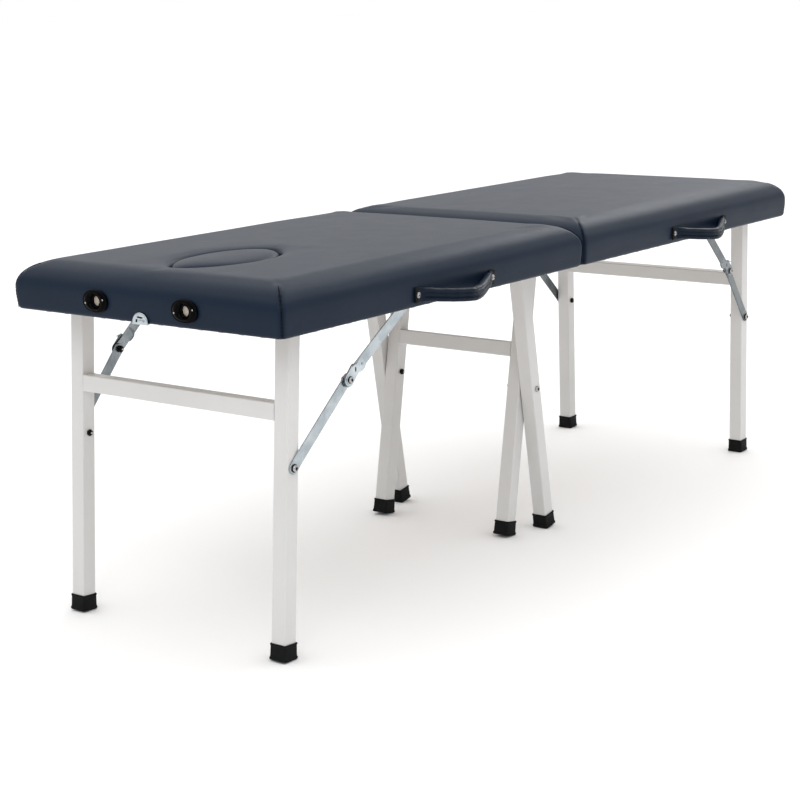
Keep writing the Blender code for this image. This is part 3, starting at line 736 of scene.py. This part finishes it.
# ---- fasteners
def turned(name, profile, point, normal, body, mat, slot, count=24, sharp=None, turn=0.0):
    """Solid of revolution on an axis; its facets stay flat without a sharp angle."""
    ob = make(name, lathe(profile, count, turn), mat, smooth=sharp is not None)
    ob.data.transform(aligned(point, normal))
    if sharp is not None:
        sharpen(ob, sharp)
    return dress(ob, body, slot)


def pan_head(name, point, normal, r, h, body):
    """Domed screw head with a dished top; the larger ones have a cross recess, drawn as a black cross of
    painted shade.
    """
    ob = turned(name, [(r * a, h * b) for a, b in PAN_HEAD], point, normal, body, STEEL, "zinc", sharp=50.0)
    if r > 0.0035:
        # Black cross standing in the dish: painted shade of the recess.
        cross = loft([[(x * r, y * r, h * z) for x, y in CROSS] for z in (0.52, 0.86)])
        mark = make(name + "_cross", cross, NYLON, smooth=False)
        mark.data.transform(aligned(point, normal))
        dress(mark, body, "black")
    return ob


def washer(name, point, normal, r, hole_r, h, body, mat=ZINC, slot="zinc"):
    ring = ((hole_r, 0.0), (r, 0.0), (r, h * 0.8), (r * 0.97, h), (hole_r, h))
    loops = [[(q * cos(a), q * sin(a), z) for q, z in ring] for a in circle(32)]
    ob = make(name, loft(loops, closed=True), mat, smooth=False)
    ob.data.transform(aligned(point, normal))
    dress(ob, body, slot)


def lock_nut(name, point, normal, r, h, body):
    """Hexagon nut with a black nylon collar and the bolt's end."""
    up = Vector(normal)
    tip = Vector(point) + up * (h * 0.74 + 0.0002)
    end = tip + up * (h * 0.28 + 0.0002)
    nut = turned(name, [(r * 0.9, 0.0), (r, h * 0.1), (r, h * 0.62), (r * 0.88, h * 0.72),
                        (r * 0.6, h * 0.74)],
                 point, normal, body, NYLON, "black", 6, turn=0.3)
    turned(name + "_collar", [(r * 0.66, 0.0), (r * 0.66, h * 0.2), (r * 0.58, h * 0.28),
                              (r * 0.4, h * 0.28)],
           tip, normal, body, NYLON, "black", sharp=40.0)
    turned(name + "_stud", [(r * 0.34, 0.0), (r * 0.34, h * 0.1), (r * 0.27, h * 0.18)], end, normal, body,
           STEEL, "zinc", 20, 40.0)
    return nut


# ---- legs
def coords(node):
    return np.array([v.co for v in NODES[node].data.vertices])


def leg_line(tag, side):
    """Pivot point, unit direction down, cross direction and the cap's points of one leg."""
    fold = tag.replace("_frame", "_legs") + "_fold"
    pivot = Vector(JOINTS[fold]["pos_m"])
    cap = coords(f"{tag}_cap_{side}")
    centre = Vector((cap.min(axis=0) + cap.max(axis=0)) / 2)
    top = Vector((pivot.x, centre.y, pivot.z))
    down = (centre - top).normalized()
    return top, down, Vector((-down.z, 0.0, down.x)), cap


def foot_shoe(tag, side):
    """Square rubber shoe with a rolled lip and a slightly wider tread."""
    top, down, cross, cap = leg_line(tag, side)
    along = (cap - np.array(top)) @ np.array(down)
    base, high = along.max(), along.min()
    half = (cap[:, 1].max() - cap[:, 1].min()) / 2
    tube = HALF_TUBE + 0.0004
    rows = ((base - 0.006, tube - 0.004, 0.002), (base - 0.006, tube, 0.002), (high + 0.0006, tube, 0.002),
            (high, tube + 0.0005, 0.002), (high, half - 0.0009, 0.0028), (high + 0.0007, half, 0.003),
            (high + 0.003, half + 0.0001, 0.003), (high + 0.004, half - 0.0006, 0.003),
            (base - 0.0075, half - 0.0002, 0.0032), (base - 0.0055, half + 0.0002, 0.0034),
            (base - 0.004, half + 0.001, 0.0036), (base - 0.0014, half + 0.001, 0.004),
            (base - 0.0003, half + 0.0002, 0.004), (base, half - 0.0014, 0.004),
            (base, half - 0.006, 0.003), (base - 0.001, half - 0.0075, 0.003))
    loops = [[tuple(top + down * d + cross * u + Vector((0.0, v, 0.0))) for u, v in rounded(h, h, r, 5)]
             for d, h, r in rows]
    ob = sharpen(make(f"{tag}_shoe_{side}", loft(loops), RUBBER), 60.0)
    dress(ob, tag, "rubber", f"{tag}_cap_{side}")


def weld_bead(tag, side):
    """Thin painted weld where a crossbar meets a leg."""
    lo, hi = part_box(tag + "_crossbar")
    mid = (lo + hi) / 2
    mid.y = lo.y if side == "near" else hi.y
    top, down, cross, cap = leg_line(tag, side)
    inward = -SIDES[side]
    loops = []
    for t in circle(48):
        c, s = cos(t), sin(t)
        m = max(abs(c), abs(s)) ** 0.92
        u, v = HALF_TUBE * c / m, HALF_TUBE * s / m
        swell = 0.001 + 0.00035 * noise.noise(Vector((u * 900.0, v * 900.0, mid.y * 50.0)))
        out = (cross * c + down * s).normalized()
        p = mid + cross * u + down * v
        loops.append([tuple(p + out * (swell * cos(a)) + Vector((0, inward * (swell * sin(a)), 0)))
                      for a in circle(6)])
    dress(make(f"{tag}_weld_{side}", loft(loops, closed=True), WHITE), tag, "white")


def legs():
    for tag in ("head_frame", "foot_frame", "mid_outer", "mid_inner"):
        for side in SIDES:
            foot_shoe(tag, side)
            if tag != "mid_outer":
                weld_bead(tag, side)
    for side, sy in SIDES.items():
        lo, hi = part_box("scissor_bolt_" + side)
        at = (lo.x + hi.x) / 2, hi.y if sy < 0 else lo.y, (lo.z + hi.z) / 2
        head = pan_head("scissor_head_" + side, at, (0, sy, 0), 0.0062, 0.0042, "mid_outer")
        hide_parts("scissor_bolt_" + side)
        lo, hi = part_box("scissor_nut_" + side)
        at = (lo.x + hi.x) / 2, lo.y if sy < 0 else hi.y, (lo.z + hi.z) / 2
        nut = lock_nut("scissor_lock_" + side, at, (0, -sy, 0), 0.0062, 0.0068, "mid_inner")
        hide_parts("scissor_nut_" + side)


# ---- folding stays
def bar_line(node, pivot):
    """Start, direction, length, half width and the Y at both ends of a bar."""
    pts = coords(node)
    flat = pts[:, [0, 2]] - np.array([pivot[0], pivot[2]])
    mean = flat.mean(axis=0)
    e = mean / np.linalg.norm(mean)
    along = flat @ e
    r = -along.min() / cos(radians(15.0))
    length = along.max() + along.min()
    y0, y1 = (float(pts[np.abs(along - at) < 0.002, 1].mean()) for at in (0.0, length))
    return Vector((pivot[0], 0.0, pivot[2])), Vector((e[0], 0.0, e[1])), length, r, y0, y1


def stay_bar(name, node, line, mat):
    """Flat bar with round ends, joggled between its two ends, its edges softened."""
    start, e, length, r, y0, y1 = line
    n = Vector((-e.z, 0.0, e.x))
    run = length - 2 * BAR_FLAT
    end = [(r * cos(radians(a)), r * sin(radians(a))) for a in (12, 28, 44, 60, 76)]
    rows = [(-x, w) for x, w in end]
    rows += [(x, r) for x in [0.0] + [BAR_FLAT + run * k / 6 for k in range(7)] + [length]]
    rows += [(length + x, w) for x, w in end[::-1]]
    loops = []
    for x, w in rows:
        y = y0 + (y1 - y0) * min(max((x - BAR_FLAT) / run, 0.0), 1.0)
        c = start + e * x
        loops.append([(c.x + n.x * u, y + v, c.z + n.z * u)
                      for u, v in ((-w, -HALF_BAR), (w, -HALF_BAR), (w, HALF_BAR), (-w, HALF_BAR))])
    dress(bevel(make(name, loft(loops), mat), 0.0005, 2, 50.0), node, "zinc", node)


def smooth_outline(points, fine=3):
    """Closed outline with extra points on a smooth curve through the given ones."""
    out = []
    for k in range(len(points)):
        p0, p1, p2, p3 = (np.array(points[(k + d) % len(points)]) for d in (-1, 0, 1, 2))
        for t in [i / fine for i in range(fine)]:
            q = 0.5 * (2 * p1 + (p2 - p0) * t + (2 * p0 - 5 * p1 + 4 * p2 - p3) * t ** 2
                       + (3 * p1 - p0 - 3 * p2 + p3) * t ** 3)
            out.append((float(q[0]), float(q[1])))
    return out


def long_hole(u, v, length, width, turn):
    """Outline of a hole with round ends."""
    c, s = cos(turn), sin(turn)
    ring = []
    for a in circle(16):
        x = copysign((length - width) / 2, cos(a)) + width / 2 * cos(a)
        y = width / 2 * sin(a)
        ring.append((u + x * c - y * s, v + x * s + y * c))
    return ring


def plate(name, axes, pts, y0, y1, body, mat, hole=None):
    """Flat plate in the stay's plane, from an outline about the knee."""
    knee, e, n = axes

    def slab(ring, a, b):
        ring = [knee + e * u + n * v for u, v in ring]
        return loft([[(p.x, y, p.z) for p in ring] for y in (a, b)])

    ob = make(name, slab(pts, y0, y1), mat, smooth=False)
    if hole:
        cut(ob, slab(hole, min(y0, y1) - 0.002, max(y0, y1) + 0.002))
    bevel(ob, 0.0004, 2, 50.0)
    for poly in ob.data.polygons:
        poly.use_smooth = True
    dress(sharpen(ob, 35.0), body, "zinc")


def stay(tag, side):
    """Two bars with the lock plate, the knee's bolt and nut, and the bolts at both ends."""
    sy = SIDES[side]
    low_node, up_node = f"{tag}_stay_lower_{side}", f"{tag}_stay_upper_{side}"
    low, rail = (Vector(JOINTS[node + "_fold"]["pos_m"]) for node in (low_node, up_node))
    # Each stay and each part of it gets its own zinc tone: painted shade.
    low_mat, up_mat, plate_mat = STAY_SHADED_ZINC[tag, side]
    lower, upper = bar_line(low_node, low), bar_line(up_node, rail)
    stay_bar(f"{tag}_bar_lower_{side}", low_node, lower, low_mat)
    stay_bar(f"{tag}_bar_upper_{side}", up_node, upper, up_mat)
    (s0, e0, len0, _, y0, y1), (s1, e1, len1, _, y2, y3) = lower, upper
    knee = s1 + e1 * len1
    back = -e1
    n = Vector((-back.z, 0.0, back.x))
    if n.z < 0:
        n = -n
    axes = (knee, back, n)
    face = y3 + sy * (HALF_BAR + 0.0003)
    shape = smooth_outline(LOCK_PLATE)
    # The rim is a dark sheet a little larger than the lock plate, set behind it: a painted shadow line round
    # the plate's edge.
    rim = [(u * 1.03 - 0.0006, v * 1.08) for u, v in shape]
    lip = [(0.0165, 0.0146), (0.0285, 0.01), (0.029, 0.0112), (0.0175, 0.016)]
    hole = long_hole(*LOCK_HOLE, 0.0085, 0.0036, 0.9)
    for word, pts, a, b, mat, gap in (("plate", shape, 0.0, PLATE_T, plate_mat, hole),
                                      ("back", rim, -0.0002, 0.0008, ZINC_PAINTED_SHADOW, None),
                                      ("lip", lip, 0.002, 0.006, plate_mat, None)):
        plate(f"{tag}_lock_{word}_{side}", axes, pts, face + sy * a, face + sy * b, up_node, mat, gap)

    def place(p, y):
        return p.x, y, p.z

    spot = knee + back * LOCK_HOLE[0] + n * LOCK_HOLE[1]
    # Thin black disc inside the lock plate's hole: painted shade in the hole.
    turned(f"{tag}_lock_hole_{side}", [(0.003, 0.0), (0.003, 0.0002)], place(spot, face + sy * 0.0009),
           (0, sy, 0), up_node, NYLON, "black", 16)
    outer = face + sy * (PLATE_T + 0.0002)
    outside = y0 + sy * (HALF_BAR + 0.0002)
    gap = abs(y3 - y1 - 2 * sy * HALF_BAR) - 0.0002
    for word, p, y, way, r, hole_r, h, body, mat, slot in (
            ("knee_ring", knee, outer - sy * 0.0001, sy, 0.0088, 0.003, 0.001, up_node, plate_mat, "zinc"),
            ("knee_seat", knee, outer + sy * 0.001, sy, 0.0066, 0.0026, 0.0004, up_node, NYLON, "black"),
            ("knee_spacer", knee, y1 + sy * (HALF_BAR + 0.0001), sy, 0.0092, 0.003,
             max(gap, 0.0003), low_node,
             NYLON, "black"),
            ("pivot_washer", low, outside, sy, 0.0074, 0.003, 0.0008, low_node, NYLON, "black"),
            ("rail_washer", rail, y2 - sy * (HALF_BAR + 0.0014), -sy, 0.008, 0.003, 0.001, up_node, ZINC,
             "zinc")):
        washer(f"{tag}_{word}_{side}", place(p, y), (0, way, 0), r, hole_r, h, body, mat, slot)
    rivet = knee + back * 0.0415 - n * 0.003
    for word, p, y, way, r, h, body in (
            ("knee_bolt", knee, outer + sy * 0.0015, sy, 0.0056, 0.0036, up_node),
            ("rivet", rivet, outer, sy, 0.0024, 0.0011, up_node),
            ("pivot_bolt", low, outside + sy * 0.001, sy, 0.0062, 0.004, low_node),
            ("rail_bolt", rail, y2 - sy * (HALF_BAR + 0.0026), -sy, 0.0056, 0.004, up_node)):
        pan_head(f"{tag}_{word}_{side}", place(p, y), (0, way, 0), r, h, body)
    leg = tag + "_frame"
    lo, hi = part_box(f"{leg}_leg_{side}")
    inner = hi.y if side == "near" else lo.y
    knee_back = place(s0 + e0 * len0, y1 - sy * (HALF_BAR + 0.0003))
    lock_nut(f"{tag}_knee_nut_{side}", knee_back, (0, -sy, 0), 0.0066, 0.007, low_node)
    lock_nut(f"{tag}_pivot_nut_{side}", place(low, inner - sy * 0.0002), (0, -sy, 0), 0.0062, 0.0064, leg)


# ---- handles
def strap_path(node):
    """Centre line of a CAD strap: X stations with the middle Y and Z of each."""
    table = {}
    for p in coords(node):
        table.setdefault(round(float(p[0]), 3), []).append(p)
    lo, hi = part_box(node)
    xs = np.linspace(lo.x, hi.x, 91)
    keys = sorted(table)
    lines = []
    for axis in (1, 2):
        mids = [0.5 * (min(q[axis] for q in table[k]) + max(q[axis] for q in table[k])) for k in keys]
        line = np.interp(xs, keys, mids)
        for _ in range(14):
            line[2:-2] = 0.25 * line[1:-3] + 0.5 * line[2:-2] + 0.25 * line[3:-1]
        lines.append(line)
    return xs, *lines


def grip_band(w, c, x, v, full, pinch, tuck):
    """Relative thickness of a grip at a height w (-1 to 1): two sewn lines, swollen beside, with folds."""
    band = 1.0 - 0.16 * pinch
    for line, deep in ((-0.36, 0.62), (0.24, 0.7)):
        band -= deep * full * bell(w - line, 0.085)
        band += 0.16 * full * bell(w - line + 0.17, 0.07)
    band += 0.34 * full * bell(w - 0.78, 0.15) - 0.24 * tuck * max(0.0, w) * full
    return band + 0.12 * noise.noise(Vector((x * 60.0, v * 90.0, c * 2.0 + 4.0))) * full


def handle(tag):
    """Padded carry strap with sewn bands, flattened and screwed down at both ends."""
    node = tag + "_handle"
    body = tag + "_panel"
    lo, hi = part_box(node)
    wall = hi.y
    xs, ys, zs = strap_path(node)
    fold_x = (lo.x + hi.x) / 2 + 0.006
    tab = 0.017
    half = 0.0126
    loops = []
    for k, (x, y, z) in enumerate(zip(xs, ys, zs)):
        a, b = max(k - 1, 0), min(k + 1, len(xs) - 1)
        d = Vector((xs[b] - xs[a], ys[b] - ys[a], 0.0)).normalized()
        nrm = Vector((d.y, -d.x, 0.0))
        run = min(x - lo.x, hi.x - x)
        full = float(smoothstep((run - tab + 0.004) / 0.012))
        thick = 0.0015 + 0.0052 * full
        tall = half * (1.0 - 0.04 * full)
        pinch = bell(run - tab - 0.006, 0.0035)
        tuck = bell(x - fold_x, 0.0055) + 0.7 * bell(run - tab - 0.013, 0.0045)
        crease = noise.noise(Vector((x * 55.0, 2.0, 7.0))) + 0.8 * noise.noise(Vector((x * 160.0, 5.0, 1.0)))
        crease *= full
        loop = []
        for t in circle(48):
            v = tall * power(sin(t), 0.8)
            u = thick * power(cos(t), 0.5)
            w = v / tall
            u *= grip_band(w, cos(t), x, v, full, pinch, tuck)
            v += 0.0013 * tuck * full * max(0.0, w) ** 2
            p = Vector((x, y, z + v + 0.0004 * crease)) + nrm * (u + 0.0006 * crease)
            loop.append((p.x, min(p.y, wall - 0.0002), p.z))
        loops.append(loop)
    ob = make(tag + "_grip", loft(loops), LEATHER_STRAP)
    subdivide(ob)
    dress(ob, body, "leather", node)
    edge = rounded(0.0088, half + 0.0008, 0.0016)
    pocket = rounded(0.0076, half - 0.0006, 0.0012)
    for word, x, sx in (("a", lo.x, 1.0), ("b", hi.x, -1.0)):
        z = float(np.interp(x, xs, zs))
        cx = x + sx * 0.0085
        loops = [[(cx + u, wall + dy, z + v) for u, v in pts]
                 for pts, dy in ((edge, 0.0001), (edge, -0.0026), (pocket, -0.0032))]
        tab_ob = make(f"{tag}_grip_tab_{word}", loft(loops), NYLON, smooth=False)
        dress(bevel(tab_ob, 0.0003, 2, 40.0), body, "black")
        at = Vector((cx - sx * 0.001, wall - 0.0033, z))
        out = Vector((0, -1, 0))
        washer(f"{tag}_grip_washer_{word}", at, out, 0.0052, 0.002, 0.0007, body, STEEL)
        pan_head(f"{tag}_grip_screw_{word}", at + out * 0.0008, out, 0.0038, 0.002, body)


# ---- headrest sockets, catch, hinges
# flange from its edge to the bore: (height over the wall, width factor, height factor)
FLANGE = ((0.0, 1.0, 1.0), (0.0022, 1.0, 1.0), (0.0033, 0.985, 0.98), (0.0037, 0.96, 0.945),
          (0.0034, 0.935, 0.915), (0.0031, 0.915, 0.89), (0.004, 0.86, 0.83), (0.005, 0.76, 0.74),
          (0.0055, 0.65, 0.68))
# lip around the bore: (height over the wall, added to the bore's width, added to its height)
BORE_LIP = ((0.0052, 0.0046, 0.003), (0.0044, 0.003, 0.002), (0.003, 0.0014, 0.0012), (0.0016, 0.0, 0.0),
            (0.0, 0.0, 0.0))


def headrest_socket(side):
    """Glossy domed oval flange with a lipped bore, a liner that ends on wood and two small screws."""
    node = "headrest_socket_" + side
    lo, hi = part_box(node)
    cy, cz = (lo.y + hi.y) / 2, (lo.z + hi.z) / 2
    back = hi.x
    half_w, half_h = (hi.y - lo.y) / 2, (hi.z - lo.z) / 2 * 0.96
    rows = [(x, half_w * a, half_h * b) for x, a, b in FLANGE]
    rows += [(x, BORE_R + a, BORE_R + b) for x, a, b in BORE_LIP]
    loops = [[(back - x, cy + a * power(cos(t), 0.92), cz + b * power(sin(t), 0.92)) for t in circle(64)]
             for x, a, b in rows]
    ob = make("headrest_flange_" + side, loft(loops, closed=True), GLOSS)
    dress(ob, "head_panel", "black", node)
    liner = disc_loops(cy, cz, ((back - 0.0008, LINER_R), (back - 0.0014, 0.0092),
                                (back + 0.04, LINER_HOLE_R),
                                (back + 0.04, LINER_R)))
    dress(make("headrest_liner_" + side, loft(liner, closed=True), GLOSS), "head_panel", "black")
    stop = disc_loops(cy, cz, ((back + 0.0045, LINER_HOLE_R), (back + 0.007, LINER_HOLE_R)))
    dress(make("headrest_stop_" + side, loft(stop), BORE_WOOD, smooth=False), "head_panel", "wood")
    for k, s in enumerate((-1.0, 1.0)):
        at = (back - 0.0048, cy + s * half_w * 0.72, cz - s * 0.004)
        pan_head(f"headrest_screw_{side}_{k}", at, (-1, 0, 0), 0.0017, 0.0012, "head_panel")


def catch(tag):
    """Pressed half-round catch with a lip, two slots drawn as raised black patches of painted shade, and a
    small tongue.
    """
    node = tag + "_catch_plate"
    body = tag + "_panel"
    lo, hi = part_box(node)
    sx = -1.0 if tag == "head" else 1.0
    face, inner = (lo.x, hi.x) if sx < 0 else (hi.x, lo.x)
    cy = (lo.y + hi.y) / 2
    half = (hi.y - lo.y) / 2
    tall = hi.z - lo.z
    loops = []
    for depth, shrink in ((0.002, 0.0), (0.001, 0.0), (0.0002, 0.0008), (0.0, 0.002), (0.0, 0.0046)):
        angles = [pi * k / 24 for k in range(25)]
        loops.append([(face - sx * depth, cy + (half - shrink) * cos(a),
                       lo.z + (tall - shrink) * sin(a) ** 0.8) for a in angles])
    dress(bevel(make(tag + "_catch", loft(loops), ZINC_BRIGHT), 0.0003, 2, 45.0), body, "zinc", node)
    a, b = sorted((face - sx * 0.0016, inner))
    ring = [(a, cy - half * 0.85), (b, cy - half * 0.7), (b, cy + half * 0.7), (a, cy + half * 0.85)]
    lip = loft([[(x, y, z) for x, y in ring] for z in (lo.z - 0.0002, lo.z + 0.0014)])
    dress(bevel(make(tag + "_catch_lip", lip, ZINC_BRIGHT, smooth=False), 0.0004, 2, 45.0), body, "zinc")

    def stamped(name, y, z, w, h, r, turn, out, mat, smooth, slot):
        c, q = cos(turn), sin(turn)
        shape = loft([[(face + sx * dx, cy + sx * (y + u * c - v * q), lo.z + z + u * q + v * c)
                       for u, v in rounded(w, h, r)] for dx in (-0.0004, out)])
        return dress(make(f"{tag}_catch_{name}", shape, mat, smooth), body, slot)

    # Black patches standing for the slots: painted shade inside them.
    stamped("slot_0", 0.0008, 0.0122, 0.0056, 0.0011, 0.00099, -0.1, 0.0012, NYLON, False, "black")
    stamped("slot_1", -0.0072, 0.0062, 0.0026, 0.001, 0.0009, 1.45, 0.0012, NYLON, False, "black")
    bevel(stamped("hook", 0.004, 0.0062, 0.0058, 0.002, 0.0017, 0.0, 0.0026, ZINC_BRIGHT, True, "zinc"),
          0.0008, 3, 45.0)


def hinge_screws():
    for tag, sx in (("head", -1.0), ("foot", 1.0)):
        for side in SIDES:
            lo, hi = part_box(f"hinge_{tag}_leaf_{side}")
            x = lo.x + 0.0045 if sx < 0 else hi.x - 0.0045
            for k in range(3):
                at = (x, lo.y + (hi.y - lo.y) * (0.18 + 0.32 * k), hi.z - 0.0021)
                pan_head(f"hinge_{tag}_screw_{side}_{k}", at, (0, 0, -1), 0.0026, 0.0011, tag + "_panel")


def staples():
    """Staples that hold the covering's hem under the rim."""
    block = ((-1, -1, 0), (1, -1, 0), (1, 1, 0), (-1, 1, 0), (-1, -1, 1), (1, -1, 1), (1, 1, 1), (-1, 1, 1))
    quads = ((3, 2, 1, 0), (4, 5, 6, 7), (0, 1, 5, 4), (1, 2, 6, 5), (2, 3, 7, 6), (3, 0, 4, 7))
    z = BOTTOM_Z - 0.0026
    for tag, (lo, hi) in PANELS.items():
        mid_y = (lo.y + hi.y) / 2
        end_x = lo.x + STAPLE_INSET if tag == "head" else hi.x - STAPLE_INSET
        spots = [(lo.x + 0.05 + k * STAPLE_STEP, y, False)
                 for k in range(int((hi.x - lo.x - 0.08) / STAPLE_STEP))
                 for y in (lo.y + STAPLE_INSET, hi.y - STAPLE_INSET)]
        for k in range(int((hi.y - lo.y - 0.08) / STAPLE_STEP)):
            y = lo.y + 0.05 + k * STAPLE_STEP
            if abs(y - mid_y) >= STAPLE_FREE:
                spots.append((end_x, y, True))
        verts, faces = [], []
        for x, y, turned_round in spots:
            faces.extend([tuple(len(verts) + i for i in f) for f in quads])
            for u, v, w in block:
                du, dv = u * 0.005, v * 0.0005
                if turned_round:
                    du, dv = -dv, du
                verts.append((x + du, y + dv, z + w * 0.0007))
        dress(make(tag + "_staples", (verts, faces), STEEL, smooth=False), tag + "_panel", "zinc")


# ---- carried-over CAD nodes
PAINT = (("_leg_", WHITE), ("_crossbar", WHITE), ("_rim", PINE), ("_deck", PLY), ("_cap_", RUBBER),
         ("cushion", LEATHER), ("skirt", LEATHER), ("handle", LEATHER), ("plug", LEATHER), ("socket", GLOSS),
         ("_axle", STEEL), ("pin", STEEL), ("", ZINC))


def paint_nodes():
    for name, ob in NODES.items():
        ob.data.materials.clear()
        ob.data.materials.append(next(mat for word, mat in PAINT if word in name))
        for poly in ob.data.polygons:
            poly.material_index = 0


# ---- stage
def studio():
    """Pale floor, bright surroundings and three soft lights."""
    soft = Nodes(bpy.data.materials.new("floor_paint"))
    value = (FLOOR_VALUE,) * 3
    soft.put(Base_Color=soft.blend(soft.noise(2.0, 2.0), value, toned(value, 0.99)))
    paint = soft.put(Roughness=0.9, Specular_IOR_Level=0.1)
    plan = ((-1, -1), (1, -1), (1, 1), (-1, 1))
    slab = loft([[(sx * FLOOR, sy * FLOOR, z) for sx, sy in plan] for z in FLOOR_Z])
    make("studio_floor", slab, paint, smooth=False)
    scene = bpy.context.scene
    world = bpy.data.worlds.new("studio")
    sky = Nodes(world, "Background", "Generated")
    dot = sky.new("VectorMath", {0: sky.coord, 1: LIGHT_AXIS}, operation="DOT_PRODUCT").outputs["Value"]
    rise = sky.new("SeparateXYZ", {"Vector": sky.coord}).outputs["Z"]
    level = sky.math("MULTIPLY", sky.span(dot, *AXIS_SPAN), sky.span(rise, *RISE_SPAN))
    seen = sky.new("LightPath", {}).outputs["Is Camera Ray"]
    pick = sky.new("Mix", {"Factor": seen, "A": level, "B": 1.0})
    sky.put(Color=(1.0, 1.0, 1.0, 1.0), Strength=pick.outputs["Result"])
    scene.world = world
    scene.view_settings.view_transform = "Standard"
    sun = bpy.data.lights.new("ceiling", "SUN")
    sun.energy = SUN_POWER
    sun.angle = radians(SUN_ANGLE)
    scene.collection.objects.link(bpy.data.objects.new("ceiling", sun))
    for name, place, target, size, watts in BOXES:
        data = bpy.data.lights.new(name, "AREA")
        data.shape = "RECTANGLE"
        data.size, data.size_y = size
        data.energy = watts
        ob = bpy.data.objects.new(name, data)
        ob.location = place
        ob.rotation_euler = (Vector(target) - Vector(place)).to_track_quat("-Z", "Y").to_euler()
        scene.collection.objects.link(ob)


def camera():
    fwd = Vector((cos(CAMERA_YAW) * cos(CAMERA_PITCH), sin(CAMERA_YAW) * cos(CAMERA_PITCH),
                  -sin(CAMERA_PITCH)))
    right = Vector((sin(CAMERA_YAW), -cos(CAMERA_YAW), 0.0))
    up = right.cross(fwd)
    c, s = cos(CAMERA_ROLL), sin(CAMERA_ROLL)
    data = bpy.data.cameras.new("camera")
    data.lens = CAMERA_LENS
    data.sensor_width = SENSOR
    data.clip_end = 100.0
    ob = bpy.data.objects.new("camera", data)
    turn = Matrix((right * c + up * s, up * c - right * s, -fwd)).transposed().to_4x4()
    ob.matrix_world = Matrix.Translation(Vector(CAMERA_AT)) @ turn
    bpy.context.scene.collection.objects.link(ob)
    bpy.context.scene.camera = ob


paint_nodes()
panels()
legs()
for end in PANELS:
    for flank in SIDES:
        stay(end, flank)
    handle(end)
    catch(end)
headrest_socket("near")
headrest_socket("far")
hinge_screws()
staples()
studio()
camera()
